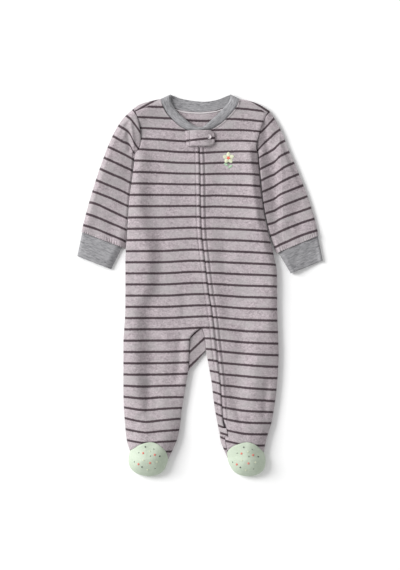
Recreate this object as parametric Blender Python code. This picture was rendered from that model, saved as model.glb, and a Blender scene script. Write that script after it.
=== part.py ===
"""A footed baby sleeper in striped fleece, zipped and laid flat on its back.

+X is the wearer's left, +Y points to the head and +Z up from the surface it lies on. The origin is
below the middle of the garment, on that surface. Every size here is in millimetres and is turned
into metres when a mesh is made. "Right" and "left" are the wearer's: right pieces lie at -X.
"""

import math
from collections import namedtuple

import bmesh
import bpy
from mathutils import Vector

METRE = 0.001            # one millimetre in metres

# ---- driving sizes ----------------------------------------------------------------------------

FLEECE = 2.0             # thickness of the body fleece
RIB = 2.2                # the rib of cuffs and neckband is knitted double
FLAP = 2.4               # the zip guard is two layers
SEAM_GAP = 0.3           # clearance between neighbouring pieces at a seam
ARMHOLE_GAP = 0.4        # a little more round the curved armholes,
UNDERARM_GAP = 1.9       # and at the point of the underarm
LOWER_SEAM_GAP = 1.1     # below the zip, where the fronts meet over the rounded ankle
HALF_GAP = SEAM_GAP / 2
RIM_SLANT = 0.5          # a wall's inner edge stands back this far from its seam
SIDE_GAP = 0.6           # clearance between a sleeve and the side that it lies against
SIDE_SEAM_TILT = 0.75    # an edge whose cloth is steeper than this is a side seam, with a level rim

UNDERARM_Y = 211.0
CROTCH_Y = -69.0
ZIP_SLOT = 1.6           # the fronts nearly meet over the coil,
SLIDER_SLOT = 5.8        # but stand apart round the slider, under the guard
SLIDER_SLOT_Y = 220.0    # they part from here up,
SLIDER_SLOT_EASE = 9.0   # over this length
ZIP_END_Y = -230.0

Side = namedtuple("Side", "y right left")
BODY_SIDES = (
    Side(211, -104.3, 92.0),
    Side(190, -106.0, 95.4),
    Side(167, -109.0, 98.2),
    Side(144, -112.3, 101.1),
    Side(120, -114.3, 104.2),
    Side(98, -115.6, 108.3),
    Side(76, -117.0, 113.4),
    Side(60, -118.2, 116.6),
    Side(40, -119.2, 120.2),
    Side(20, -119.2, 122.8),
    Side(-40, -119.4, 123.4),
    Side(-69, -121.0, 124.4),
)

Leg = namedtuple("Leg", "y right_outer right_inner left_inner left_outer")
LEGS = (
    Leg(-69, -121.0, -12.5, 3.7, 124.4),
    Leg(-86, -122.2, -16.2, 8.0, 125.0),
    Leg(-105, -122.4, -17.3, 9.6, 125.6),
    Leg(-133, -122.4, -18.4, 14.6, 124.9),
    Leg(-156, -122.4, -22.0, 18.6, 123.2),
    Leg(-178, -122.3, -25.8, 21.0, 121.0),
    Leg(-201, -121.4, -29.6, 24.2, 117.6),
    Leg(-222, -119.8, -31.8, 28.2, 113.6),
    Leg(-240, -118.0, -34.6, 31.6, 107.9),
    Leg(-252, -116.0, -38.4, 33.8, 104.8),
)
RIGHT_ANKLE_CORNERS = ((-112.0, -264.5), (-50.5, -278.0))
LEFT_ANKLE_CORNERS = ((43.8, -276.0), (102.0, -267.0))

Spot = namedtuple("Spot", "x y")
RIGHT_CAP_SEAM = (
    Spot(-112.0, -264.5), Spot(-106.4, -261.0), Spot(-95.4, -254.2), Spot(-80.8, -250.4),
    Spot(-69.8, -252.3), Spot(-60.5, -258.7), Spot(-53.6, -267.0), Spot(-50.5, -278.0),
)
LEFT_CAP_SEAM = (
    Spot(43.8, -276.0), Spot(43.2, -267.0), Spot(48.5, -260.0), Spot(58.1, -254.6),
    Spot(73.8, -250.4), Spot(84.8, -252.8), Spot(93.4, -258.4), Spot(102.0, -267.0),
)
RIGHT_TOE = (
    Spot(-112.0, -264.5), Spot(-114.2, -276.0), Spot(-113.6, -286.0), Spot(-108.5, -295.6),
    Spot(-97.5, -302.8), Spot(-82.0, -305.4), Spot(-68.0, -303.0), Spot(-58.3, -296.8),
    Spot(-53.6, -287.0), Spot(-50.5, -278.0),
)
LEFT_TOE = (
    Spot(43.8, -276.0), Spot(47.0, -287.0), Spot(54.5, -298.0), Spot(65.0, -304.0),
    Spot(79.2, -305.4), Spot(91.5, -302.8), Spot(100.6, -296.2), Spot(104.4, -286.0),
    Spot(104.4, -276.0), Spot(102.0, -267.0),
)

RIGHT_SHOULDER = (Spot(-104.0, 283.4), Spot(-95.0, 289.2), Spot(-76.0, 294.6), Spot(-63.0, 297.4))
LEFT_SHOULDER = (Spot(63.0, 297.4), Spot(77.6, 294.6), Spot(93.6, 289.0), Spot(110.0, 279.0))
RIGHT_ARMHOLE = (
    Spot(-104.0, 283.4), Spot(-102.6, 276.0), Spot(-100.2, 268.0), Spot(-96.8, 255.0),
    Spot(-94.7, 241.0), Spot(-94.8, 227.0), Spot(-98.0, 217.0), Spot(-104.3, 211.0),
)
LEFT_ARMHOLE = (
    Spot(110.0, 279.0), Spot(105.6, 271.5), Spot(101.6, 262.5), Spot(97.3, 251.5),
    Spot(94.0, 240.0), Spot(90.6, 228.0), Spot(89.8, 218.0), Spot(92.0, 211.0),
)
RIGHT_NECKLINE = (
    Spot(-63.0, 297.4), Spot(-60.0, 287.0), Spot(-54.1, 275.4), Spot(-44.8, 265.0),
    Spot(-33.8, 255.0), Spot(-24.6, 249.6), Spot(-17.3, 247.2), Spot(-2.4, 245.6),
)
LEFT_NECKLINE = (
    Spot(3.4, 245.7), Spot(14.9, 247.8), Spot(24.0, 251.5), Spot(36.0, 259.8),
    Spot(47.0, 270.7), Spot(58.6, 284.6), Spot(63.0, 297.4),
)
BACK_NECKLINE = (
    Spot(-63.0, 297.4), Spot(-52.0, 289.0), Spot(-40.0, 283.0), Spot(-26.0, 278.4),
    Spot(0.0, 276.6), Spot(24.0, 279.0), Spot(39.0, 284.0), Spot(52.0, 290.0), Spot(63.0, 297.4),
)
BAND_FRONT_EDGE = (
    Spot(-47.0, 304.6), Spot(-46.4, 293.6), Spot(-42.1, 284.6), Spot(-34.0, 274.4),
    Spot(-22.7, 264.3), Spot(-11.8, 256.4), Spot(-3.0, 252.6), Spot(4.0, 252.8),
    Spot(14.9, 261.2), Spot(26.9, 272.2), Spot(37.8, 283.2), Spot(46.1, 293.2), Spot(49.0, 304.6),
)
BAND_BACK_EDGE = (
    Spot(-47.0, 304.6), Spot(-34.0, 299.0), Spot(-17.9, 295.4), Spot(0.0, 293.4),
    Spot(12.0, 293.4), Spot(28.6, 296.4), Spot(41.0, 301.4), Spot(49.0, 304.6),
)

ZIP_LINE = (
    Spot(-2.4, 245.6), Spot(-1.8, 221.6), Spot(-0.4, 190.0), Spot(0.2, 160.0), Spot(0.7, 121.4),
    Spot(2.4, 81.4), Spot(5.4, 55.8), Spot(9.0, 24.8), Spot(13.6, -11.0), Spot(18.2, -38.0),
    Spot(22.4, -69.0), Spot(26.7, -105.3), Spot(29.6, -131.0), Spot(32.0, -152.0),
    Spot(33.8, -178.0), Spot(35.4, -201.6), Spot(37.2, -224.0), Spot(39.6, -245.0),
    Spot(43.2, -267.0),
)

# How full the cloth lies: height of the side seam, of the rounded edge and of the middle, and how
# far in the edge takes to round over.
Loft = namedtuple("Loft", "y seam peak mid roll")
BODY_LOFT = (
    Loft(320, 6.0, 11.6, 6.4, 9.0),
    Loft(-150, 6.0, 11.6, 6.4, 9.0),
    Loft(-190, 6.2, 13.0, 9.0, 10.0),
    Loft(-222, 6.6, 16.0, 14.5, 13.0),
    Loft(-250, 8.0, 24.0, 23.0, 19.0),
    Loft(-278, 9.0, 34.0, 34.0, 26.0),
    Loft(-320, 9.0, 34.0, 34.0, 26.0),
)
EDGE_FALL = 13.0         # width of the slope from a rounded edge down to the middle
ZIP_RIDGE = 2.6          # the cloth stands up this much over the coils,
ZIP_RIDGE_WIDTH = 10.0   # as a low ridge that falls off over this width
CREASE_FROM = 6.0        # creases start this far in from the outline,
CREASE_FADE = 8.0        # and have their whole depth this much further in

Rail = namedtuple("Rail", "outer_x outer_y inner_x inner_y")
RIGHT_SLEEVE = (
    Rail(-104.0, 283.4, -104.3, 211.0),
    Rail(-122.4, 266.4, -105.0, 203.0),
    Rail(-135.2, 247.2, -106.0, 194.0),
    Rail(-145.4, 225.6, -107.6, 180.0),
    Rail(-155.4, 200.0, -110.3, 161.0),
    Rail(-165.6, 170.4, -113.0, 138.0),
    Rail(-174.6, 141.6, -115.2, 113.0),
    Rail(-182.6, 112.8, -117.0, 85.0),
    Rail(-189.6, 85.2, -119.0, 58.2),
)
LEFT_SLEEVE = (
    Rail(110.0, 279.0, 92.0, 211.0),
    Rail(121.4, 262.0, 93.6, 203.0),
    Rail(131.0, 243.5, 95.2, 193.0),
    Rail(140.4, 219.0, 97.4, 177.0),
    Rail(150.0, 196.8, 99.6, 158.0),
    Rail(162.0, 168.0, 102.4, 135.0),
    Rail(172.6, 140.0, 106.6, 110.0),
    Rail(181.6, 112.0, 113.4, 80.0),
    Rail(189.8, 79.0, 121.4, 50.6),
)
SLEEVE_LOFT = (Loft(0, 6.0, 11.6, 6.4, 9.0), Loft(1, 4.0, 8.6, 6.6, 6.0))
CUFF_LOFT = Loft(0, 3.6, 7.2, 7.0, 4.5)
RIGHT_CUFF_END = Rail(-196.2, 46.2, -142.4, 25.0)
LEFT_CUFF_END = Rail(196.2, 39.0, 145.2, 18.4)
CUFF_TAKE_IN = (0.03, 0.87)   # where the cuff's two edges meet the wider sleeve hem, as shares
HEM_GATHER = 0.8              # height of the small gathers above each cuff
HEM_GATHER_FROM = 0.86        # share of the sleeve's length where they begin

# Main creases of the fronts: soft troughs, given from end to end.
Crease = namedtuple("Crease", "x0 y0 x1 y1 width depth")
CREASES = (
    Crease(-70.0, 62.0, -71.0, -34.0, 9.0, 1.3),
    Crease(-88.6, -2.0, -88.0, -214.0, 8.0, 1.6),
    Crease(-37.8, -84.0, -42.0, -186.0, 7.0, 1.2),
    Crease(60.0, -92.0, 58.6, -190.0, 7.0, 1.3),
    Crease(57.6, -197.0, 64.6, -219.0, 3.6, 1.5),
    Crease(-92.0, 176.0, -66.0, 132.0, 8.0, 0.9),
    Crease(84.0, 176.0, 62.0, 120.0, 9.0, 0.9),
)
SLEEVE_CREASES = (
    Crease(-118.0, 246.0, -119.0, 205.0, 5.0, 1.4),
    Crease(-134.0, 170.0, -146.0, 120.0, 7.0, 1.1),
    Crease(105.0, 222.0, 124.0, 108.0, 9.0, 2.4),
    Crease(151.0, 170.0, 166.0, 116.0, 7.0, 1.0),
)


# ---- curves -----------------------------------------------------------------------------------

def blend(a, b, share):
    return a + (b - a) * share


def ease(share):
    """0 to 1 with a soft start and a soft end."""
    share = min(1.0, max(0.0, share))
    return share * share * (3 - 2 * share)


def quarter_round(share):
    """Height of a quarter circle, 0 at its foot and 1 at its top."""
    share = min(1.0, max(0.0, share))
    return math.sqrt(1 - (1 - share) ** 2)


class Curve:
    """A smooth curve in plan through a few points, measured along its length."""

    STEPS = 10           # straight pieces between two given points

    def __init__(self, spots):
        given = [Vector((s[0], s[1])) for s in spots]
        ends = [2 * given[0] - given[1]] + given + [2 * given[-1] - given[-2]]
        self.points = []
        for before, here, there, after in zip(ends, ends[1:], ends[2:], ends[3:]):
            for step in range(self.STEPS):
                self.points.append(self.bend(before, here, there, after, step / self.STEPS))
        self.points.append(given[-1])
        self.lengths = [0.0]
        for a, b in zip(self.points, self.points[1:]):
            self.lengths.append(self.lengths[-1] + (b - a).length)

    @staticmethod
    def bend(before, here, there, after, t):
        pull_here = (there - before) / 2
        pull_there = (after - here) / 2
        return (
            here * (2 * t**3 - 3 * t**2 + 1) + pull_here * (t**3 - 2 * t**2 + t)
            + there * (3 * t**2 - 2 * t**3) + pull_there * (t**3 - t**2)
        )

    def at(self, share):
        """The point at this share of the whole length."""
        goal = min(1.0, max(0.0, share)) * self.lengths[-1]
        for number in range(1, len(self.lengths)):
            if self.lengths[number] >= goal - 1e-9:
                span = self.lengths[number] - self.lengths[number - 1]
                part = (goal - self.lengths[number - 1]) / span if span else 0.0
                return blend(self.points[number - 1], self.points[number], part)
        return self.points[-1].copy()

    def x_at(self, y):
        """Where the curve crosses this height, for a curve that runs down the garment."""
        for a, b in zip(self.points, self.points[1:]):
            if a.y >= y >= b.y and a.y > b.y:
                return blend(a.x, b.x, (a.y - y) / (a.y - b.y))
        return self.points[0].x if y > self.points[0].y else self.points[-1].x

    def away(self, place):
        """Distance from a place to the curve."""
        return min(
            segment_distance(place, a, b) for a, b in zip(self.points, self.points[1:])
        )


def segment_distance(place, a, b):
    along = b - a
    share = (place - a).dot(along) / max(along.length_squared, 1e-9)
    return (a + along * min(1.0, max(0.0, share)) - place).length


RIGHT_SIDE = Curve(
    [(s.right, s.y) for s in BODY_SIDES] + [(g.right_outer, g.y) for g in LEGS[1:]]
    + [RIGHT_ANKLE_CORNERS[0]]
)
LEFT_SIDE = Curve(
    [(s.left, s.y) for s in BODY_SIDES] + [(g.left_outer, g.y) for g in LEGS[1:]]
    + [LEFT_ANKLE_CORNERS[1]]
)
RIGHT_INNER_LEG = Curve([(g.right_inner, g.y) for g in LEGS] + [RIGHT_ANKLE_CORNERS[1]])
LEFT_INNER_LEG = Curve([(g.left_inner, g.y) for g in LEGS] + [LEFT_ANKLE_CORNERS[0]])
CROTCH_EDGE = Curve([(LEGS[0].right_inner, CROTCH_Y), (LEGS[0].left_inner, CROTCH_Y)])
ZIP = Curve(ZIP_LINE)
SHOULDERS = (Curve(RIGHT_SHOULDER), Curve(LEFT_SHOULDER))
TOES = (Curve(RIGHT_TOE), Curve(LEFT_TOE))
BODY_OUTLINE = (
    RIGHT_SIDE, LEFT_SIDE, RIGHT_INNER_LEG, LEFT_INNER_LEG, CROTCH_EDGE, *SHOULDERS, *TOES
)


# ---- how the cloth lies -----------------------------------------------------------------------

def crown(away, loft):
    """Height of the upper side this far in from the outline: a rounded edge, then a flat middle."""
    if away < loft.roll:
        return blend(loft.seam, loft.peak, quarter_round(away / loft.roll))
    return blend(loft.mid, loft.peak, math.exp(-((away - loft.roll) / EDGE_FALL) ** 2))


def belly(away, loft):
    """Height of the underside this far in from the outline: rounded up at the edge, then flat."""
    return loft.seam * (1 - quarter_round(away / loft.seam))


def crease_depth(place, creases):
    depth = 0.0
    for crease in creases:
        a = Vector((crease.x0, crease.y0))
        b = Vector((crease.x1, crease.y1))
        depth += crease.depth * math.exp(-(segment_distance(place, a, b) / crease.width) ** 2)
    return depth


def body_loft(y):
    """How full the cloth lies at this height of the body, blended between the table's rows."""
    for a, b in zip(BODY_LOFT, BODY_LOFT[1:]):
        if b.y <= y <= a.y:
            return Loft(*(blend(p, q, (a.y - y) / (a.y - b.y)) for p, q in zip(a, b)))
    return BODY_LOFT[0]


def outline_away(place, outline):
    return min(curve.away(place) for curve in outline)


def zip_ridge(place, away):
    """The rise over the zip; it fades out at the rounded edge of the leg and below the zip."""
    rise = ZIP_RIDGE * math.exp(-(ZIP.away(place) / ZIP_RIDGE_WIDTH) ** 2)
    return rise * ease(away / BODY_LOFT[0].roll) * ease((place.y - ZIP_END_Y) / 60)


def front_level(place, away):
    """Height of the fronts over a place, without the creases."""
    return crown(away, body_loft(place.y)) + HALF_GAP + zip_ridge(place, away)


def body_top(place):
    """Height of the fronts, and of the foot caps, over a place in plan."""
    away = outline_away(place, BODY_OUTLINE)
    creases = crease_depth(place, CREASES) * ease((away - CREASE_FROM) / CREASE_FADE)
    return front_level(place, away) - creases


def body_under(place):
    """Height of the back's underside over a place in plan."""
    loft = body_loft(place.y)
    level = belly(outline_away(place, BODY_OUTLINE), loft)
    return level * (1 - HALF_GAP / loft.seam)


def raised(place, height):
    return Vector((place.x, place.y, height))


def square_to(height, place):
    """The way straight out of a surface over a place in plan."""
    step = 1.5
    rise_x = height(place + Vector((step, 0))) - height(place - Vector((step, 0)))
    rise_y = height(place + Vector((0, step))) - height(place - Vector((0, step)))
    return Vector((-rise_x, -rise_y, 2 * step)).normalized()


def off_front(place, distance):
    """A point this far out of the fronts' surface, or into them, square to the cloth."""
    return raised(place, body_top(place)) + square_to(body_top, place) * distance


# ---- cloth solids -----------------------------------------------------------------------------

def patch(top, bottom, right, left, across, down):
    """Rows of plan points that fill the space between four edges, by shares across and down."""
    rows = []
    for v in down:
        row = []
        for u in across:
            edges = blend(top(u), bottom(u), v) + blend(right(v), left(v), u)
            corners = blend(blend(top(0), top(1), u), blend(bottom(0), bottom(1), u), v)
            row.append(edges - corners)
        rows.append(row)
    return rows


def lift(rows, height):
    return [[raised(place, height(place)) for place in row] for row in rows]


class Skin:
    """The outer faces of a piece of cloth; points that coincide are shared."""

    def __init__(self):
        self.points = []
        self.places = {}
        self.faces = []

    def point(self, place):
        key = tuple(round(c, 3) for c in place)
        if key not in self.places:
            self.places[key] = len(self.points)
            self.points.append(place)
        return self.places[key]

    def face(self, *corners):
        numbers = []
        for corner in corners:
            number = self.point(corner)
            if number not in numbers:
                numbers.append(number)
        if len(numbers) > 2:
            self.faces.append(numbers)

    def grid(self, rows, facing_up=True, closed=False):
        """Adds rows that run down the garment, each from the wearer's right to the left."""
        for upper, lower in zip(rows, rows[1:]):
            count = len(upper)
            for k in range(count if closed else count - 1):
                n = (k + 1) % count
                quad = (upper[k], lower[k], lower[n], upper[n])
                self.face(*(quad if facing_up else reversed(quad)))

    def fan(self, ring, centre, facing_up=True):
        for a, b in zip(ring, ring[1:] + ring[:1]):
            self.face(*((a, b, centre) if facing_up else (b, a, centre)))


def finish(name, colour, roughness, metallic=0.0):
    material = bpy.data.materials.new(name)
    material.use_nodes = True
    shader = material.node_tree.nodes["Principled BSDF"]
    shader.inputs["Base Color"].default_value = (*colour, 1)
    shader.inputs["Roughness"].default_value = roughness
    shader.inputs["Metallic"].default_value = metallic
    material.diffuse_color = (*colour, 1)
    return material


def add_object(name, mesh, material):
    mesh.materials.append(material)
    mesh.shade_smooth()
    mesh.set_sharp_from_angle(angle=math.radians(50))
    bpy.context.collection.objects.link(bpy.data.objects.new(name, mesh))


def add_faces(name, points, faces, material):
    """An object from points in millimetres and the faces between them."""
    mesh = bpy.data.meshes.new(name)
    mesh.from_pydata([tuple(p * METRE) for p in points], [], faces)
    mesh.validate()
    add_object(name, mesh, material)


def add_worked(name, work, material):
    """An object from a bmesh in millimetres."""
    bmesh.ops.scale(work, vec=(METRE, METRE, METRE), verts=work.verts)
    bmesh.ops.recalc_face_normals(work, faces=work.faces)
    mesh = bpy.data.meshes.new(name)
    work.to_mesh(mesh)
    work.free()
    add_object(name, mesh, material)


def cloth(name, skin, wall, material):
    """Makes the solid: the skin, the same skin one wall further in, and a rim round its edges."""
    work = bmesh.new()
    outer = [work.verts.new(p) for p in skin.points]
    for face in skin.faces:
        work.faces.new([outer[n] for n in face])
    work.normal_update()
    inner_points = []
    for vert in outer:
        out = vert.normal
        if vert.is_boundary and abs(out.z) < SIDE_SEAM_TILT:
            out = Vector((out.x, out.y, 0)).normalized()
        inner = vert.co - out * wall
        if vert.is_boundary:
            inner += inward(vert) * RIM_SLANT
        inner_points.append(inner)
    work.verts.index_update()
    rims = []
    for edge in work.edges:
        if edge.is_boundary:
            loop = edge.link_loops[0]
            rims.append([loop.vert.index, loop.link_loop_next.vert.index])
    work.free()
    count = len(skin.points)
    faces = [list(face) for face in skin.faces]
    faces += [[n + count for n in reversed(face)] for face in skin.faces]
    faces += [[b, a, a + count, b + count] for a, b in rims]
    add_faces(name, skin.points + inner_points, faces, material)


def inward(vert):
    """Direction in the cloth, square to its edge, from an edge point into the piece."""
    edges = [edge for edge in vert.link_edges if edge.is_boundary]
    ends = [edge.other_vert(vert).co for edge in edges]
    along = (ends[0] - ends[1]).normalized()
    aim = Vector((0, 0, 0))
    for face in vert.link_faces:
        aim += face.calc_center_median() - vert.co
    aim -= along * aim.dot(along)
    aim -= vert.normal * aim.dot(vert.normal)
    return aim.normalized() if aim.length > 1e-6 else aim


# ---- shares used by more than one piece -------------------------------------------------------

CHEST_DOWN = (0, 0.017, 0.056, 0.125, 0.29, 0.5, 0.7, 0.87, 0.96, 1)
BACK_CHEST_DOWN = (0, 0.03, 0.085, 0.3, 0.62, 0.91, 1)


def edge_shares(width, offsets, middles, both=True):
    """Shares across a width: close together by a rounded edge, then evenly spread."""
    first = offsets[-1] / width
    last = 1 - first if both else 1
    shares = [offset / width for offset in offsets]
    for k in range(1, middles + 1):
        shares.append(blend(first, last, k / (middles + 1)))
    if both:
        shares += [1 - offset / width for offset in reversed(offsets)]
    else:
        shares.append(1.0)
    return shares


def closer_at_end(shares):
    """The same shares, crowded towards 1."""
    return [1 - (1 - share) ** CORNER_CROWD for share in shares]


def closer_at_start(shares):
    return [share ** CORNER_CROWD for share in shares]


def row_picker(shares, places):
    """A function that gives the place at a share, for shares that are in the list."""
    return lambda share: places[min(range(len(shares)), key=lambda k: abs(shares[k] - share))]


def level(a, b):
    return lambda share: blend(a, b, share)


def part_of(curve, y_top, y_bottom):
    """The stretch of a curve between two heights, by shares of its height."""
    def at(share):
        y = blend(y_top, y_bottom, share)
        return Vector((curve.x_at(y), y))
    return at


def spread(count):
    return [k / (count - 1) for k in range(count)]


CORNER_CROWD = 1.35       # how much closer columns lie where the shoulder meets the neckline
EDGE_STEPS = (0, 1.2, 4.0, 9.0)
BACK_EDGE_STEPS = (0, 2.4, 6.5)
TRUNK_DOWN = (*spread(12)[:-1], 0.968, 0.986, 0.996, 1)   # closer where the crotch rounds over
LEG_DOWN = (0, 0.02, 0.055, 0.12, 0.21, 0.31, 0.41, 0.51, 0.61, 0.7, 0.78, 0.85, 0.91, 0.96, 1)
BACK_TRUNK_DOWN = (*spread(10)[:-1], 0.977, 0.9914, 1)
BACK_LEG_DOWN = (0, 0.03, 0.08, 0.2, 0.33, 0.46, 0.59, 0.71, 0.81, 0.89, 0.95, 1)


# ---- the fronts -------------------------------------------------------------------------------

def make_front_right(material):
    """Right front: chest to the zip, right leg, and the strip of the left leg inside the zip."""
    outer, inner = LEGS[0].right_outer, LEGS[0].right_inner
    strip_start, zip_x = LEGS[0].left_inner, ZIP.x_at(CROTCH_Y)
    leg_shares = edge_shares(inner - outer, EDGE_STEPS, 8)
    strip_shares = [0, 0.12, 0.45, 1]
    crotch_xs = [blend(outer, inner, s) for s in leg_shares]
    crotch_xs += [blend(inner, strip_start, s) for s in (0.25, 0.5, 0.75)]
    crotch_xs += [blend(strip_start, zip_x, s) for s in strip_shares]
    across = [(x - outer) / (zip_x - outer) for x in crotch_xs]
    neck_places = [
        Curve(RIGHT_NECKLINE).at(s) for s in closer_at_start(spread(len(across) - 7))]
    top_places = [SHOULDERS[0].at(s) for s in closer_at_end(spread(8))[:-1]] + neck_places
    underarm = (Vector((RIGHT_SIDE.x_at(UNDERARM_Y), UNDERARM_Y)),
                Vector((ZIP.x_at(UNDERARM_Y), UNDERARM_Y)))
    crotch = Vector((outer, CROTCH_Y)), Vector((zip_x, CROTCH_Y))
    skin = Skin()
    chest = patch(
        row_picker(across, top_places), level(*underarm), Curve(RIGHT_ARMHOLE).at,
        part_of(ZIP, ZIP_LINE[0].y, UNDERARM_Y), across, CHEST_DOWN)
    trunk = patch(
        level(*underarm), level(*crotch), part_of(RIGHT_SIDE, UNDERARM_Y, CROTCH_Y),
        part_of(ZIP, UNDERARM_Y, CROTCH_Y), across, TRUNK_DOWN)
    cap_seam = Curve(RIGHT_CAP_SEAM)
    leg = patch(
        level(Vector((outer, CROTCH_Y)), Vector((inner, CROTCH_Y))), cap_seam.at,
        part_of(RIGHT_SIDE, CROTCH_Y, RIGHT_CAP_SEAM[0].y),
        part_of(RIGHT_INNER_LEG, CROTCH_Y, RIGHT_CAP_SEAM[-1].y), leg_shares, LEG_DOWN)
    strip = patch(
        level(Vector((strip_start, CROTCH_Y)), Vector((zip_x, CROTCH_Y))),
        level(Vector(LEFT_CAP_SEAM[0]), Vector(LEFT_CAP_SEAM[1])),
        part_of(LEFT_INNER_LEG, CROTCH_Y, LEFT_CAP_SEAM[0].y),
        part_of(ZIP, CROTCH_Y, LEFT_CAP_SEAM[1].y), strip_shares, LEG_DOWN)
    for rows in (chest, trunk, leg, strip):
        skin.grid(lift(rows, body_top))
    cloth("front_right", skin, FLEECE, material)
    return {"neck": neck_places, "cap_seam": leg[-1], "strip_end": strip[-1]}


def slot_width(y):
    """Distance between the two fronts: wide round the slider, narrow along the rest of the zip."""
    if y < ZIP_END_Y:
        return LOWER_SEAM_GAP
    return blend(ZIP_SLOT, SLIDER_SLOT, ease((y - SLIDER_SLOT_Y) / SLIDER_SLOT_EASE))


def make_front_left(material):
    """Left front: chest from the zip, and the left leg outside the zip."""
    def zip_edge(y_top, y_bottom):
        def at(share):
            y = blend(y_top, y_bottom, share)
            return Vector((ZIP.x_at(y) + slot_width(y), y))
        return at
    outer = LEFT_SIDE.x_at(CROTCH_Y)
    zip_x = zip_edge(CROTCH_Y, CROTCH_Y)(0).x
    from_side = edge_shares(outer - zip_x, EDGE_STEPS, 10, both=False)
    shares = [1 - share for share in reversed(from_side)]
    neck_places = [
        Curve(LEFT_NECKLINE).at(s) for s in closer_at_end(spread(len(shares) - 6))]
    top_places = neck_places + [SHOULDERS[1].at(s) for s in closer_at_start(spread(7))[1:]]
    underarm = zip_edge(UNDERARM_Y, 0)(0), Vector((LEFT_SIDE.x_at(UNDERARM_Y), UNDERARM_Y))
    crotch = Vector((zip_x, CROTCH_Y)), Vector((outer, CROTCH_Y))
    seam = Curve(LEFT_CAP_SEAM[1:])
    chest = patch(
        row_picker(shares, top_places), level(*underarm),
        zip_edge(LEFT_NECKLINE[0].y, UNDERARM_Y), Curve(LEFT_ARMHOLE).at, shares, CHEST_DOWN)
    trunk = patch(
        level(*underarm), level(*crotch), zip_edge(UNDERARM_Y, CROTCH_Y),
        part_of(LEFT_SIDE, UNDERARM_Y, CROTCH_Y), shares, TRUNK_DOWN)
    leg = patch(
        level(*crotch), seam.at, zip_edge(CROTCH_Y, LEFT_CAP_SEAM[1].y),
        part_of(LEFT_SIDE, CROTCH_Y, LEFT_CAP_SEAM[-1].y), shares, LEG_DOWN)
    skin = Skin()
    for rows in (chest, trunk, leg):
        skin.grid(lift(rows, body_top))
    cloth("front_left", skin, FLEECE, material)
    return {"neck": neck_places, "cap_seam": leg[-1]}


# ---- the back ---------------------------------------------------------------------------------

def heel_seam(corners):
    """The seam under the foot, bowed towards the leg."""
    bow = 8.0
    a, b = Vector(corners[0]), Vector(corners[1])
    return Curve([blend(a, b, t) + Vector((0, bow * (1 - (2 * t - 1) ** 2))) for t in spread(5)])


def make_back(material):
    """Back of body and legs in one piece, flat on the surface and rounded up at its edges."""
    crotch_row = LEGS[0]
    right_shares = edge_shares(
        crotch_row.right_inner - crotch_row.right_outer, BACK_EDGE_STEPS, 5)
    left_shares = edge_shares(
        crotch_row.left_outer - crotch_row.left_inner, BACK_EDGE_STEPS, 5)
    xs = [blend(crotch_row.right_outer, crotch_row.right_inner, s) for s in right_shares]
    xs += [blend(crotch_row.right_inner, crotch_row.left_inner, 0.5)]
    xs += [blend(crotch_row.left_inner, crotch_row.left_outer, s) for s in left_shares]
    across = [(x - xs[0]) / (xs[-1] - xs[0]) for x in xs]
    neck_places = [
        Curve(BACK_NECKLINE).at(blend(s, ease(s), 0.35)) for s in spread(len(xs) - 10)]
    top_places = [SHOULDERS[0].at(s) for s in closer_at_end(spread(6))[:-1]] + neck_places
    top_places += [SHOULDERS[1].at(s) for s in closer_at_start(spread(6))[1:]]
    underarm = (Vector((RIGHT_SIDE.x_at(UNDERARM_Y), UNDERARM_Y)),
                Vector((LEFT_SIDE.x_at(UNDERARM_Y), UNDERARM_Y)))
    crotch = Vector((xs[0], CROTCH_Y)), Vector((xs[-1], CROTCH_Y))
    chest = patch(
        row_picker(across, top_places), level(*underarm), Curve(RIGHT_ARMHOLE).at,
        Curve(LEFT_ARMHOLE).at, across, BACK_CHEST_DOWN)
    trunk = patch(
        level(*underarm), level(*crotch), part_of(RIGHT_SIDE, UNDERARM_Y, CROTCH_Y),
        part_of(LEFT_SIDE, UNDERARM_Y, CROTCH_Y), across, BACK_TRUNK_DOWN)
    legs = []
    for corners, outer, inner, shares in (
        (RIGHT_ANKLE_CORNERS, RIGHT_SIDE, RIGHT_INNER_LEG, right_shares),
        (LEFT_ANKLE_CORNERS, LEFT_INNER_LEG, LEFT_SIDE, left_shares),
    ):
        start = Vector((outer.x_at(CROTCH_Y), CROTCH_Y)), Vector((inner.x_at(CROTCH_Y), CROTCH_Y))
        legs.append(patch(
            level(*start), heel_seam(corners).at, part_of(outer, CROTCH_Y, corners[0][1]),
            part_of(inner, CROTCH_Y, corners[1][1]), shares, BACK_LEG_DOWN))
    skin = Skin()
    for rows in (chest, trunk, *legs):
        skin.grid(lift(rows, body_under), facing_up=False)
    cloth("back", skin, FLEECE, material)
    return {"neck": neck_places, "heels": [rows[-1] for rows in legs]}


# ---- sleeves and cuffs ------------------------------------------------------------------------

SLEEVE_DOWN = (0, 0.025, 0.07, 0.14, 0.23, 0.34, 0.46, 0.58, 0.7, 0.8, 0.86, 0.91, 0.96, 1)
SLEEVE_SPLITS = (1, 1, 2, 4, 4, 4, 2, 1, 1)   # columns between the armhole's points, from the underarm
REACH_OF_ARMHOLE = 0.32       # share of the sleeve's length over which the armhole's curve fades out


def along_rails(rails, share):
    """The outer and inner edge of the sleeve this far from the armhole."""
    inner = Curve([(r.inner_x, r.inner_y) for r in rails])
    outer = Curve([(r.outer_x, r.outer_y) for r in rails])
    place = share * (len(rails) - 1) * Curve.STEPS
    number = min(int(place), len(inner.points) - 2)
    return (blend(inner.points[number], inner.points[number + 1], place - number),
            blend(outer.points[number], outer.points[number + 1], place - number))


def split_shares(shares, splits):
    fine = []
    for a, b, count in zip(shares, shares[1:], splits):
        fine += [blend(a, b, k / count) for k in range(count)]
    return fine + [shares[-1]]


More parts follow.
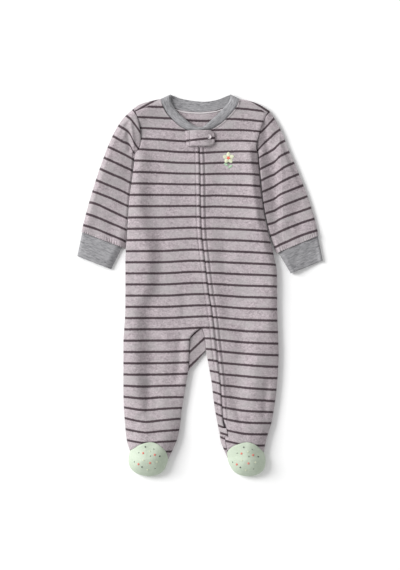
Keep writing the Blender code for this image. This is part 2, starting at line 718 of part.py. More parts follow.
def on_chords(shares, places, fine):
    """Places at finer shares, on the straight lines between the given ones."""
    result = []
    for share in fine:
        for k in range(len(shares) - 1):
            if shares[k] <= share <= shares[k + 1] + 1e-9:
                part = (share - shares[k]) / (shares[k + 1] - shares[k])
                result.append(blend(places[k], places[k + 1], part))
                break
    return result


def make_sleeve(name, rails, armhole_spots, shoulder, side, material):
    """One sleeve: a flattened tube from the armhole to the gathered hem. side is -1 or 1."""
    armhole = Curve(armhole_spots)
    rails = [r._replace(inner_x=r.inner_x + side * SIDE_GAP) for r in rails]
    top_shares = [1 - v for v in reversed(CHEST_DOWN)]
    fine = split_shares(top_shares, SLEEVE_SPLITS)
    under_shares = [1 - v for v in BACK_CHEST_DOWN[1:-1]]
    inner_rail = Curve([(r.inner_x, r.inner_y) for r in rails])
    outer_rail = Curve([(r.outer_x, r.outer_y) for r in rails])
    outline = (inner_rail, outer_rail, shoulder)
    seam_top = on_chords(top_shares, [armhole.at(1 - t) for t in top_shares], fine)
    seam_under = [armhole.at(1 - t) for t in under_shares]
    start_inner, start_outer = along_rails(rails, 0)

    def outward(t):
        """Away from the armhole: down and out at the underarm, and out at the shoulder."""
        up_the_armhole = ease(t / 0.3)
        way = blend(Vector((side * 0.7, -0.7)), Vector((side, 0.1)), up_the_armhole)
        return way.normalized() * blend(UNDERARM_GAP, ARMHOLE_GAP, up_the_armhole)

    rings = []
    for s in SLEEVE_DOWN:
        inner, outer = along_rails(rails, s)
        keep = (1 - min(1, s / REACH_OF_ARMHOLE)) ** 2
        loft = Loft(*(blend(p, q, s) for p, q in zip(*SLEEVE_LOFT)))
        gather = HEM_GATHER * ease((s - HEM_GATHER_FROM) / (1 - HEM_GATHER_FROM))
        ring = []
        for shares, seam, upper in ((fine, seam_top, True), (under_shares, seam_under, False)):
            for k, t in enumerate(shares):
                place = blend(inner, outer, t)
                place += (seam[k] - blend(start_inner, start_outer, t) + outward(t)) * keep
                away = 0 if t in (0, 1) else outline_away(place, outline)
                if upper:
                    height = crown(away, loft)
                    height -= crease_depth(place, SLEEVE_CREASES) * ease((away - 5) / 6)
                    if 0.08 < t < 0.92:
                        height += gather if k % 2 else -gather
                else:
                    height = belly(away, loft)
                ring.append(raised(place, height))
        rings.append(ring)
    skin = Skin()
    skin.grid(rings, facing_up=side > 0, closed=True)
    cloth(name, skin, FLEECE, material)
    return along_rails(rails, 1)


CUFF_DOWN = (0, 0.06, 0.35, 0.7, 0.95, 1)
CUFF_EDGE_STEPS = (0, 1.0, 4.5)
CUFF_UNDER = (0.93, 0.7, 0.5, 0.3, 0.07)


def make_cuff(name, hem, end, side, material):
    """A doubled rib tube, narrower than the sleeve that is gathered on to it."""
    inner, outer = hem
    finish = Vector((end.outer_x, end.outer_y)), Vector((end.inner_x, end.inner_y))
    down = (finish[0] - outer).normalized() * SEAM_GAP
    start = [blend(outer, inner, share) + down for share in CUFF_TAKE_IN]
    tops = edge_shares((start[1] - start[0]).length, CUFF_EDGE_STEPS, 5)
    rings = []
    for s in CUFF_DOWN:
        a, b = blend(start[0], finish[0], s), blend(start[1], finish[1], s)
        width = (b - a).length
        ring = []
        for shares, height in ((tops, crown), (CUFF_UNDER, belly)):
            for t in shares:
                ring.append(raised(blend(a, b, t), height(min(t, 1 - t) * width, CUFF_LOFT)))
        rings.append(ring)
    skin = Skin()
    skin.grid(rings, facing_up=side < 0, closed=True)
    cloth(name, skin, RIB, material)


# ---- neckband ---------------------------------------------------------------------------------

BAND_PEAK_Z = 6.6        # height of the folds at the neck's two sides,
BAND_FRONT_Z = 8.6       # and of the band's free edge over the fronts
BAND_ROUND = 9.0         # the fold is round over this length
BAND_BULGE = 0.5         # how far the middle of the band stands up from a straight line


def length_shares(places):
    total = [0.0]
    for a, b in zip(places, places[1:]):
        total.append(total[-1] + (b - a).length)
    return [t / total[-1] for t in total]


def make_neckband(front_right, front_left, back, material):
    """A rib ring: over the fronts, folded at the neck's sides, and flat on the surface behind."""
    front = front_right + front_left
    skin = Skin()
    stations = []
    for places, edge, upper in (
        (front, Curve(BAND_FRONT_EDGE), True), (list(reversed(back)), Curve(BAND_BACK_EDGE), False),
    ):
        shares = length_shares(places)
        for k, (place, share) in enumerate(zip(places, shares)):
            if not upper and k in (0, len(places) - 1):
                continue
            rim = edge.at(share if upper else 1 - share)
            seam = place + (rim - place).normalized() * SEAM_GAP
            from_peak = min((rim - edge.at(0)).length, (rim - edge.at(1)).length)
            if upper:
                seam_z = front_level(place, outline_away(place, BODY_OUTLINE))
                rim_z = blend(BAND_PEAK_Z, BAND_FRONT_Z, quarter_round(from_peak / BAND_ROUND))
                bulge = BAND_BULGE
            else:
                seam_z = body_under(place)
                rim_z = BAND_PEAK_Z * (1 - quarter_round(from_peak / BAND_PEAK_Z))
                bulge = 0.0
            if k in (0, len(places) - 1):
                seam_z, bulge = BODY_LOFT[0].seam, 0.0
            station = []
            for t in (0, 0.5, 1):
                height = blend(seam_z, rim_z, t) + bulge * math.sin(math.pi * t)
                station.append(raised(blend(seam, rim, t), height))
            stations.append(station)
    skin.grid([list(ring) for ring in zip(*stations)], facing_up=False, closed=True)
    cloth("neckband", skin, RIB, material)


# ---- feet -------------------------------------------------------------------------------------

CAP_RINGS = (1, 0.98, 0.92, 0.81, 0.66, 0.46, 0.22)
SOLE_RINGS = (1, 0.95, 0.86, 0.72, 0.4)
TOE_STEPS = 15


def make_foot(side_name, cap_seam, heel, toe, cap_material):
    """The mint cap over the foot and the sole under it, which meet round the toes."""
    toe_places = [toe.at(k / TOE_STEPS) for k in range(TOE_STEPS + 1)]
    if (toe_places[0] - cap_seam[0]).length > (toe_places[-1] - cap_seam[0]).length:
        toe_places.reverse()
    for name, seam, rings, height, up in (
        (f"foot_cap_{side_name}", cap_seam, CAP_RINGS, body_top, True),
        (f"foot_sole_{side_name}", heel, SOLE_RINGS, body_under, False),
    ):
        seam = list(seam)
        centre = sum(toe_places + seam, Vector((0, 0))) / (len(toe_places) + len(seam))
        loop = [p + (centre - p).normalized() * SEAM_GAP for p in seam]
        loop += reversed(toe_places[1:-1])
        skin = Skin()
        lifted = lift([[blend(centre, p, ring) for p in loop] for ring in rings], height)
        skin.grid(lifted, facing_up=up, closed=True)
        skin.fan(lifted[-1], raised(centre, height(centre)), facing_up=not up)
        cloth(name, skin, FLEECE, cap_material)


# ---- crotch gusset ----------------------------------------------------------------------------

GUSSET_END_Y = (-137.0, -105.5)   # where it ends on the right and on the left inner leg seam
GUSSET_GAP = 0.6
GUSSET_Z = 6.4
GUSSET_SAG = 3.6
GUSSET_DOWN = (0, 0.12, 0.3, 0.5, 0.75, 1)
GUSSET_ACROSS = (0, 0.15, 0.35, 0.65, 0.85, 1)


def make_gusset(material):
    """The piece let in between the legs; it sags from the inner leg seams."""
    skin = Skin()
    rows = []
    for v in GUSSET_DOWN:
        ends = []
        for leg, end_y, gap in zip(
            (RIGHT_INNER_LEG, LEFT_INNER_LEG), GUSSET_END_Y, (GUSSET_GAP, -GUSSET_GAP)
        ):
            y = blend(CROTCH_Y, end_y, v)
            ends.append(Vector((leg.x_at(y) + gap, y - GUSSET_GAP * (1 - v))))
        row = []
        for u in GUSSET_ACROSS:
            sag = math.sin(math.pi * u) * ease(v / 0.4)
            row.append(raised(blend(*ends, u), GUSSET_Z - GUSSET_SAG * sag))
        rows.append(row)
    skin.grid(rows)
    cloth("crotch_gusset", skin, FLEECE, material)


# ---- zip --------------------------------------------------------------------------------------

TAPE_REACH = 6.5         # how far each tape runs under its front
TAPE_EDGE_KEEP = 3.0     # and how far it stays from the inner leg edge
TAPE = 0.8
TAPE_UNDER = -3.1        # its upper side, just under the fleece
TAPE_ROWS = 26
COIL_HALF = 2.6          # width of one coil, from the middle of the zip
COIL_DEEP = 1.8          # and how far it stands out below the tape


def slot_middle(y):
    """The middle of the zip in plan."""
    return Vector((ZIP.x_at(y) + slot_width(y) / 2, y))


def sweep(name, rings, material):
    """A closed solid through rings of points, with a cap at each end."""
    points = [p for ring in rings for p in ring]
    count = len(rings[0])
    faces = []
    for r in range(len(rings) - 1):
        for k in range(count):
            n = (k + 1) % count
            faces.append([r * count + k, r * count + n, (r + 1) * count + n, (r + 1) * count + k])
    faces.append(list(reversed(range(count))))
    faces.append([(len(rings) - 1) * count + k for k in range(count)])
    work = bmesh.new()
    corners = [work.verts.new(p) for p in points]
    for face in faces:
        work.faces.new([corners[n] for n in face])
    add_worked(name, work, material)


def make_zip_tapes(material):
    """Two tapes with their coils, side by side in the slot, sewn under the edges of the fronts."""
    for name, side in (("zip_tape_right", -1), ("zip_tape_left", 1)):
        rings = []
        for k in range(TAPE_ROWS):
            y = blend(ZIP_LINE[0].y - 1.0, ZIP_END_Y + 3.0, k / (TAPE_ROWS - 1))
            reach = TAPE_REACH
            if side < 0 and y < CROTCH_Y:
                strip = ZIP.x_at(y) - LEFT_INNER_LEG.x_at(y)
                reach = min(TAPE_REACH, max(COIL_HALF + 0.4, strip - TAPE_EDGE_KEEP))
            section = (
                (reach, TAPE_UNDER - TAPE), (reach, TAPE_UNDER), (HALF_GAP, TAPE_UNDER),
                (HALF_GAP, TAPE_UNDER - COIL_DEEP), (COIL_HALF, TAPE_UNDER - COIL_DEEP),
                (COIL_HALF, TAPE_UNDER - TAPE),
            )
            middle = slot_middle(y)
            rings.append([off_front(middle + Vector((side * a, 0)), b) for a, b in section])
        sweep(name, rings, material)


Block = namedtuple("Block", "y lift width length height bevel")
SLIDER = Block(235.0, -0.6, 4.6, 9.0, 4.0, 0.3)
PULL = Block(231.0, 2.15, 4.2, 14.0, 0.8, 0.25)


def lay_on(work, base, out):
    """Moves a bmesh that was made flat at the origin on to a surface."""
    across = Vector((out.z, 0, -out.x)).normalized()
    along = out.cross(across)
    for vert in work.verts:
        vert.co = base + across * vert.co.x + along * vert.co.y + out * vert.co.z


def make_block(name, block, material):
    """A box with rounded edges, lying on the zip."""
    work = bmesh.new()
    bmesh.ops.create_cube(work, size=1)
    bmesh.ops.scale(work, vec=(block.width, block.length, block.height), verts=work.verts)
    bmesh.ops.bevel(
        work, geom=work.edges[:], offset=block.bevel, segments=2, profile=0.5, affect="EDGES")
    place = slot_middle(block.y)
    lay_on(work, off_front(place, block.lift), square_to(body_top, place))
    add_worked(name, work, material)


# ---- zip guard, snap and end tab --------------------------------------------------------------

FLAP_RIGHT_X, FLAP_LEFT_X = -22.6, 24.2
FLAP_TOP_Y, FLAP_LOW_Y = 244.4, 221.6
FLAP_GAP = 0.5           # how far the flap lies above the fronts
FLAP_LIFT = 2.9          # how much further it arches over the slider,
FLAP_ARCH = 8.5          # and half the width of that arch
FLAP_SQUARE = 2.6        # power of its rounded end: 2 is round, more is squarer
FLAP_SLANT = 3.0         # its sewn edge leans by this much
FLAP_DOWN = (0, 0.12, 0.35, 0.65, 0.88, 1)
FLAP_ACROSS = (0, 0.1, 0.22, 0.34, 0.42, 0.5, 0.58, 0.66, 0.76, 0.86, 0.94, 0.985)
SNAP_PLACE = Vector((14.9, 236.8))
SNAP_RADIUS = 3.6
SNAP_TOP_RADIUS = 3.0
SNAP_HEIGHT = 1.2
SNAP_LIFT = 1.5          # from the guard's surface to the middle of the cap


def flap_top(place):
    """Height of the guard's upper side: on the fronts, but arched over the slider."""
    arch = FLAP_LIFT * math.exp(-((place.x - slot_middle(place.y).x) / FLAP_ARCH) ** 4)
    return body_top(place) + FLAP_GAP + FLAP + arch


def make_zip_guard(material):
    """A rounded double flap, sewn to the right front and snapped to the left one."""
    middle_y, half = (FLAP_TOP_Y + FLAP_LOW_Y) / 2, (FLAP_TOP_Y - FLAP_LOW_Y) / 2
    rows = []
    for v in FLAP_DOWN:
        row = []
        for u in FLAP_ACROSS:
            x = blend(FLAP_RIGHT_X, FLAP_LEFT_X, u)
            past = max(0.0, x - (FLAP_LEFT_X - half)) / half
            reach = half * (1 - past**FLAP_SQUARE) ** (1 / FLAP_SQUARE)
            slant = blend(FLAP_SLANT, 0.0, min(1, u * 6)) * (v - 0.5)
            row.append(Vector((x + slant, middle_y + reach * (1 - 2 * v))))
        rows.append(row)
    skin = Skin()
    skin.grid(lift(rows, flap_top))
    cloth("zip_guard", skin, FLAP, material)


def make_snap(material):
    """The clear cap of the snap, on the rounded end of the guard."""
    work = bmesh.new()
    bmesh.ops.create_cone(
        work, cap_ends=True, segments=20, radius1=SNAP_RADIUS, radius2=SNAP_TOP_RADIUS,
        depth=SNAP_HEIGHT)
    out = square_to(flap_top, SNAP_PLACE)
    lay_on(work, raised(SNAP_PLACE, flap_top(SNAP_PLACE)) + out * SNAP_LIFT, out)
    add_worked("snap", work, material)


END_TAB_TOP_Y, END_TAB_LOW_Y = -228.6, -241.6
END_TAB_IN, END_TAB_OUT = 2.4, 13.0    # from the inner leg edge, across the zip
END_TAB = 1.4
END_TAB_GAP = 0.6
END_TAB_ACROSS = (0, 0.12, 0.25, 0.4, 0.6, 0.8, 1)


def make_end_tab(material):
    """The small piece of fleece sewn over the lower end of the zip."""
    rows = []
    for v in spread(5):
        y = blend(END_TAB_TOP_Y, END_TAB_LOW_Y, v)
        edge = LEFT_INNER_LEG.x_at(y)
        row = []
        for u in END_TAB_ACROSS:
            place = Vector((edge + blend(END_TAB_IN, END_TAB_OUT, u), y))
            row.append(off_front(place, END_TAB_GAP + END_TAB))
        rows.append(row)
    skin = Skin()
    skin.grid(rows)
    cloth("zip_end_tab", skin, END_TAB, material)


# ---- all of it --------------------------------------------------------------------------------

for old in list(bpy.data.objects):
    bpy.data.objects.remove(old)

striped = finish("striped fleece", (0.36, 0.32, 0.34), 0.95)
rib = finish("grey melange rib", (0.29, 0.29, 0.30), 0.95)
mint = finish("mint fleece", (0.62, 0.72, 0.58), 0.95)
tape = finish("zip tape", (0.25, 0.21, 0.23), 0.8)
metal = finish("zip metal", (0.5, 0.5, 0.5), 0.35, metallic=0.9)
clear = finish("clear plastic", (0.8, 0.78, 0.78), 0.25)

right = make_front_right(striped)
left = make_front_left(striped)
behind = make_back(striped)
right_hem = make_sleeve(
    "sleeve_right", RIGHT_SLEEVE, RIGHT_ARMHOLE, SHOULDERS[0], -1, striped)
left_hem = make_sleeve("sleeve_left", LEFT_SLEEVE, LEFT_ARMHOLE, SHOULDERS[1], 1, striped)
make_cuff("cuff_right", right_hem, RIGHT_CUFF_END, -1, rib)
make_cuff("cuff_left", left_hem, LEFT_CUFF_END, 1, rib)
make_neckband(right["neck"], left["neck"], behind["neck"], rib)
make_foot("right", right["cap_seam"], behind["heels"][0], TOES[0], mint)
make_foot("left", right["strip_end"][:-1] + left["cap_seam"], behind["heels"][1], TOES[1], mint)
make_gusset(striped)
make_zip_tapes(tape)
make_block("zip_slider", SLIDER, metal)
make_block("zip_pull", PULL, metal)
make_zip_guard(striped)
make_snap(clear)
make_end_tab(striped)
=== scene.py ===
"""Looks of a footed baby sleeper in striped fleece, zipped up and laid flat on its back.

The sections follow the garment as it is sewn together. Sizes are in millimetres, and become metres
when a mesh is made. +X is the wearer's left, +Y points to the head, and +Z up from the surface that
it lies on. "Right" and "left" are the wearer's, so right pieces lie at -X.
"""

import math
from collections import namedtuple

import bpy
import numpy as np
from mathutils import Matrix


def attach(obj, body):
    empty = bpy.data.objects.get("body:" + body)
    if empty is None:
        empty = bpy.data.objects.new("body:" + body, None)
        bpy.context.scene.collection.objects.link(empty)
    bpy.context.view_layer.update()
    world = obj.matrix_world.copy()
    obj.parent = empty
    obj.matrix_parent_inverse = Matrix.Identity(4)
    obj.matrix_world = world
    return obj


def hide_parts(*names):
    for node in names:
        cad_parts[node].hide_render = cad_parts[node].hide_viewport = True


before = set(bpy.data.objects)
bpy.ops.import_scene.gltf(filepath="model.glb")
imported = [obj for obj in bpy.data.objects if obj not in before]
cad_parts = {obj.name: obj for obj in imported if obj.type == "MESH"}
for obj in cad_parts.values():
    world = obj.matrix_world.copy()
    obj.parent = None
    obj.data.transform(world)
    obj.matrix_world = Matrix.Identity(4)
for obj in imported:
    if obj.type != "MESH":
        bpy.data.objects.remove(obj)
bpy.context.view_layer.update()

MM = 0.001


# ---- right front ------------------------------------------------------------------------------
# The front from the wearer's right side to the zip, with the right leg and the inner strip of the
# left leg, cut in one from brushed microfleece: a mauve-grey heather with thin plum stripes knitted
# in. It is joined at its sides, shoulder, armhole, neckline and ankle, and folded under at the zip.

def node(tree, kind, inputs=(), **settings):
    """Adds a shader node. An input is a value, or the output of another node to link."""
    made = tree.nodes.new("ShaderNode" + kind)
    for key, value in settings.items():
        setattr(made, key, value)
    for key, value in dict(inputs).items():
        if isinstance(value, bpy.types.NodeSocket):
            tree.links.new(value, made.inputs[key])
        else:
            made.inputs[key].default_value = value
    return made


def maths(tree, operation, *values):
    return node(tree, "Math", dict(enumerate(values)), operation=operation).outputs[0]


def mixed(tree, share, first, second):
    """Two colours blended by a share of the second."""
    return node(tree, "Mix", {0: share, 6: first, 7: second}, data_type="RGBA").outputs[2]


def grouped(tree, group, **inputs):
    """Puts a shader group in a material with its own values."""
    return node(tree, "Group", inputs, node_tree=group).outputs[0]


def shader_group(name, inputs, outputs):
    """A shader node group with its sockets, and the two nodes that stand for them inside."""
    group = bpy.data.node_groups.new(name, "ShaderNodeTree")
    for label, kind, value in inputs:
        socket = group.interface.new_socket(label, in_out="INPUT", socket_type="NodeSocket" + kind)
        if value is not None:
            socket.default_value = value
    for label, kind in outputs:
        group.interface.new_socket(label, in_out="OUTPUT", socket_type="NodeSocket" + kind)
    inside = group.nodes.new("NodeGroupInput").outputs
    return group, inside, group.nodes.new("NodeGroupOutput").inputs


def make_heather():
    """Fibres of two colours blended before spinning: wide clouds, mottles and fine flecks."""
    group, given, result = shader_group(
        "heather",
        [("Place", "Vector", None), ("Dark", "Color", (0.3, 0.3, 0.3, 1)),
         ("Light", "Color", (0.5, 0.5, 0.5, 1)), ("Tint", "Color", (0.5, 0.5, 0.5, 1)),
         ("Cloud", "Float", 45.0), ("Mottle", "Float", 300.0), ("Fleck", "Float", 800.0),
         ("Stretch", "Vector", (0.6, 1, 1))],
        [("Color", "Color")])
    place = node(group, "VectorMath", {0: given["Place"], 1: given["Stretch"]},
                 operation="MULTIPLY").outputs[0]

    def blotches(scale, low, high, detail, seed):
        spots = node(group, "TexNoise", {"Vector": place, "Scale": given[scale], "Detail": detail,
                                         "Roughness": 0.65, "W": seed}, noise_dimensions="4D")
        return node(group, "MapRange", {"Value": spots.outputs[0], "From Min": low,
                                        "From Max": high}).outputs[0]

    fine = node(group, "Mix", {0: 0.55, 2: blotches("Mottle", 0.36, 0.64, 3.0, 1.0),
                               3: blotches("Fleck", 0.37, 0.63, 2.0, 2.0)})
    both = node(group, "Mix", {0: 0.18, 2: fine.outputs[0],
                               3: blotches("Cloud", 0.3, 0.7, 3.0, 3.0)})
    ground = mixed(group, both.outputs[0], given["Dark"], given["Light"])
    tinted = mixed(group, blotches("Cloud", 0.44, 0.66, 4.0, 4.0), ground, given["Tint"])
    group.links.new(mixed(group, 0.75, ground, tinted), result["Color"])
    return group


def make_stripes():
    """Knitted-in stripes, one at every whole pitch along the cloth, with brushed, uneven edges."""
    group, given, result = shader_group(
        "stripes",
        [("Cloth", "Vector", None), ("Pitch", "Float", 0.0178), ("Width", "Float", 0.003),
         ("Edge", "Float", 0.0006)],
        [("Mask", "Float")])
    fray = node(group, "TexNoise", {"Vector": given["Cloth"], "Scale": 420.0, "Detail": 3.0,
                                    "Roughness": 0.75}).outputs[0]
    shift = maths(group, "MULTIPLY", maths(group, "ADD", fray, -0.5), 0.0022)
    along = node(group, "SeparateXYZ", {0: given["Cloth"]}).outputs[1]
    half_pitch = maths(group, "MULTIPLY", given["Pitch"], 0.5)
    away = maths(group, "PINGPONG", maths(group, "ADD", along, shift), half_pitch)
    reach = maths(group, "MULTIPLY", given["Width"], 0.5)
    mask = node(group, "MapRange", {
        "Value": away, "From Min": maths(group, "ADD", reach, given["Edge"]),
        "From Max": maths(group, "SUBTRACT", reach, given["Edge"])},
        interpolation_type="SMOOTHSTEP")
    group.links.new(mask.outputs[0], result["Mask"])
    return group


def make_nap():
    """Height of the brushed surface: short fibres that clump, and shallow dents between clumps."""
    group, given, result = shader_group(
        "nap", [("Place", "Vector", None), ("Clump", "Float", 420.0), ("Fibre", "Float", 1800.0)],
        [("Height", "Float")])
    clumps = node(group, "TexNoise", {"Vector": given["Place"], "Scale": given["Clump"],
                                      "Detail": 3.0, "Roughness": 0.65})
    fibres = node(group, "TexNoise", {"Vector": given["Place"], "Scale": given["Fibre"],
                                      "Detail": 2.0})
    height = node(group, "Mix", {0: 0.35, 2: clumps.outputs[0], 3: fibres.outputs[0]})
    group.links.new(height.outputs[0], result["Height"])
    return group


HEATHER = make_heather()
STRIPES = make_stripes()
NAP = make_nap()
STRIPE_PITCH = 17.8
STRIPE_WIDTH = 3.7


def start_material(name, roughness, sheen=0.0, sheen_roughness=0.5, sheen_tint=(1, 1, 1, 1)):
    material = bpy.data.materials.new(name)
    material.use_nodes = True
    shader = material.node_tree.nodes["Principled BSDF"]
    for label, value in (("Roughness", roughness), ("Sheen Weight", sheen),
                         ("Sheen Roughness", sheen_roughness), ("Sheen Tint", sheen_tint)):
        shader.inputs[label].default_value = value
    return material, material.node_tree, shader


def surface(tree, shader, colour, height, strength, distance):
    """Gives a material its colour, and the bump of its surface."""
    bump = node(tree, "Bump", {"Height": height, "Strength": strength, "Distance": distance})
    tree.links.new(colour, shader.inputs["Base Color"])
    tree.links.new(bump.outputs[0], shader.inputs["Normal"])


def make_fleece(name, light, dark, tint, stripe, deep_stripe, sheen):
    material, tree, shader = start_material(name, 0.95, sheen, 0.45, (0.95, 0.9, 0.92, 1))
    place = node(tree, "TexCoord").outputs["Object"]
    cloth_place = node(tree, "UVMap", uv_map="cloth").outputs[0]
    ground = grouped(tree, HEATHER, Place=place, Light=light, Dark=dark, Tint=tint)
    yarn = grouped(tree, HEATHER, Place=place, Light=stripe, Dark=deep_stripe, Tint=stripe,
                   Mottle=450.0)
    mask = grouped(tree, STRIPES, Cloth=cloth_place, Pitch=STRIPE_PITCH * MM,
                   Width=STRIPE_WIDTH * MM)
    surface(tree, shader, mixed(tree, mask, ground, yarn), grouped(tree, NAP, Place=place),
            0.55, 0.0011)
    return material


STRIPED = make_fleece(
    "striped_fleece", light=(0.592, 0.519, 0.547, 1), dark=(0.21, 0.176, 0.191, 1),
    tint=(0.397, 0.377, 0.379, 1), stripe=(0.072, 0.049, 0.058, 1),
    deep_stripe=(0.034, 0.022, 0.027, 1), sheen=0.12)


def run_of(points):
    """Length of a chain of points from its start to each of them."""
    steps = np.linalg.norm(np.diff(points, axis=0), axis=1)
    return np.concatenate([[0], np.cumsum(steps)])


class Curve:
    """A smooth curve in plan through a few points, measured along its length."""

    STEPS = 10

    def __init__(self, spots):
        given = np.array([(spot[0], spot[1]) for spot in spots], float)
        ends = np.vstack([2 * given[0] - given[1], given, 2 * given[-1] - given[-2]])
        t = (np.arange(self.STEPS) / self.STEPS)[:, None]
        chain = []
        for before, here, there, after in zip(ends, ends[1:], ends[2:], ends[3:]):
            pull_here, pull_there = (there - before) / 2, (after - here) / 2
            chain.append(
                here * (2 * t**3 - 3 * t**2 + 1) + pull_here * (t**3 - 2 * t**2 + t)
                + there * (3 * t**2 - 2 * t**3) + pull_there * (t**3 - t**2))
        self.points = np.vstack(chain + [given[-1:]])
        self.lengths = run_of(self.points)

    def at(self, shares):
        """Points at these shares of the whole length."""
        goals = np.clip(shares, 0, 1) * self.lengths[-1]
        return np.stack([np.interp(goals, self.lengths, c) for c in self.points.T], -1)

    def along(self, place):
        """Points by the running number of the given points, which may be a fraction."""
        numbers = np.arange(len(self.points)) / self.STEPS
        return np.stack([np.interp(place, numbers, c) for c in self.points.T], -1)

    def x_at(self, y):
        """Where a curve that runs down the garment crosses these heights."""
        return np.interp(-np.asarray(y, float), -self.points[:, 1], self.points[:, 0])

    def away(self, places):
        """Distance from each place to the curve."""
        return away_from(self.points, places)


def away_from(chain, places):
    """Distance from each place to a chain of points."""
    best = np.full(len(places), np.inf)
    for a, b in zip(chain, chain[1:]):
        along = b - a
        share = np.clip((places - a) @ along / max(along @ along, 1e-12), 0, 1)
        gap = places - a - share[:, None] * along
        best = np.minimum(best, np.einsum("ij,ij->i", gap, gap))
    return np.sqrt(best)


UNDERARM_Y, CROTCH_Y = 211.0, -69.0
Side = namedtuple("Side", "y right left")
BODY_SIDES = [Side(*row) for row in (
    (211, -104.3, 92), (190, -106, 93.8), (167, -109, 95.8), (144, -112.3, 98.2),
    (120, -114.3, 101.4), (98, -115.6, 105.6), (76, -117, 110.8), (60, -118.2, 115),
    (40, -119.2, 119.4), (20, -119.2, 122.8), (-40, -119.4, 123.4), (-69, -121, 124.4),
)]
Leg = namedtuple("Leg", "y right_outer right_inner left_inner left_outer")
LEGS = [Leg(*row) for row in (
    (-69, -121, -12.5, 3.7, 124.4), (-86, -122.2, -16.2, 8, 125),
    (-105, -122.4, -17.3, 9.6, 125.6), (-133, -122.4, -18.4, 14.6, 124.9),
    (-156, -122.4, -22, 18.6, 123.2), (-178, -122.3, -25.8, 21, 121),
    (-201, -121.4, -29.6, 24.2, 117.6), (-222, -119.8, -31.8, 28.2, 113.6),
    (-240, -118, -34.6, 31.6, 107.9), (-252, -116, -38.4, 33.8, 104.8),
)]
RIGHT_CAP_SEAM = (
    (-112, -264.5), (-106.4, -261), (-95.4, -254.2), (-80.8, -250.4), (-69.8, -252.3),
    (-60.5, -258.7), (-53.6, -267), (-50.5, -278),
)
LEFT_CAP_SEAM = (
    (43.8, -276), (43.2, -267), (48.5, -260), (58.1, -254.6), (73.8, -250.4),
    (84.8, -252.8), (93.4, -258.4), (102, -267),
)
RIGHT_TOE = (
    (-112, -264.5), (-114.2, -276), (-113.6, -286), (-108.5, -295.6), (-97.5, -302.8),
    (-82, -305.4), (-68, -303), (-58.3, -296.8), (-53.6, -287), (-50.5, -278),
)
LEFT_TOE = (
    (43.8, -276), (47, -287), (54.5, -298), (65, -304), (79.2, -305.4),
    (91.5, -302.8), (100.6, -296.2), (104.4, -286), (104.4, -276), (102, -267),
)
RIGHT_SHOULDER = Curve(((-104.0, 283.4), (-95.0, 289.2), (-76.0, 294.6), (-63.0, 297.4)))
LEFT_SHOULDER = Curve(((63.0, 297.4), (77.6, 294.6), (93.6, 289.0), (110.0, 279.0)))
RIGHT_ARMHOLE = Curve((
    (-104, 283.4), (-102.6, 276), (-100.2, 268), (-96.8, 255), (-94.7, 241),
    (-94.8, 227), (-98, 217), (-104.3, 211)))
RIGHT_NECKLINE = Curve((
    (-63, 297.4), (-60, 287), (-54.1, 275.4), (-44.8, 265), (-33.8, 255),
    (-24.6, 249.6), (-17.3, 247.2), (-2.4, 245.6)))
ZIP_TOP_Y, ZIP_END_Y = 245.6, -230.0
ZIP = Curve((
    (-2.4, 245.6), (-1.8, 221.6), (-0.4, 190), (0.2, 160), (0.7, 121.4), (2.4, 81.4),
    (5.4, 55.8), (9, 24.8), (13.6, -11), (18.2, -38), (22.4, -69), (26.7, -105.3),
    (29.6, -131), (32, -152), (33.8, -178), (35.4, -201.6), (37.2, -224),
    (39.6, -245.0), (43.2, -267.0)))
RIGHT_SIDE = Curve(
    [(s.right, s.y) for s in BODY_SIDES] + [(g.right_outer, g.y) for g in LEGS[1:]]
    + [RIGHT_CAP_SEAM[0]])
LEFT_SIDE = Curve(
    [(s.left, s.y) for s in BODY_SIDES] + [(g.left_outer, g.y) for g in LEGS[1:]]
    + [LEFT_CAP_SEAM[-1]])
RIGHT_INNER_LEG = Curve([(g.right_inner, g.y) for g in LEGS] + [RIGHT_CAP_SEAM[-1]])
LEFT_INNER_LEG = Curve([(g.left_inner, g.y) for g in LEGS] + [LEFT_CAP_SEAM[0]])
CROTCH_EDGE = Curve(((LEGS[0].right_inner, CROTCH_Y), (LEGS[0].left_inner, CROTCH_Y)))
# At the crotch the right leg's front laps over the top of the gusset with a slanted edge.
CROTCH_POINT = (1.2, CROTCH_Y)
FRONT_INNER_LEG = Curve(
    [CROTCH_POINT, (-6.0, -73.4), (-12.4, -79.4), (-16.2, -86.0)]
    + [(g.right_inner, g.y) for g in LEGS[2:]] + [RIGHT_CAP_SEAM[-1]])
RIGHT_EDGES = (RIGHT_SIDE, RIGHT_SHOULDER, Curve(RIGHT_TOE))
LEFT_EDGES = (LEFT_SIDE, LEFT_SHOULDER, Curve(LEFT_TOE))
BODY_OUTLINE = RIGHT_EDGES + LEFT_EDGES + (RIGHT_INNER_LEG, LEFT_INNER_LEG, CROTCH_EDGE)

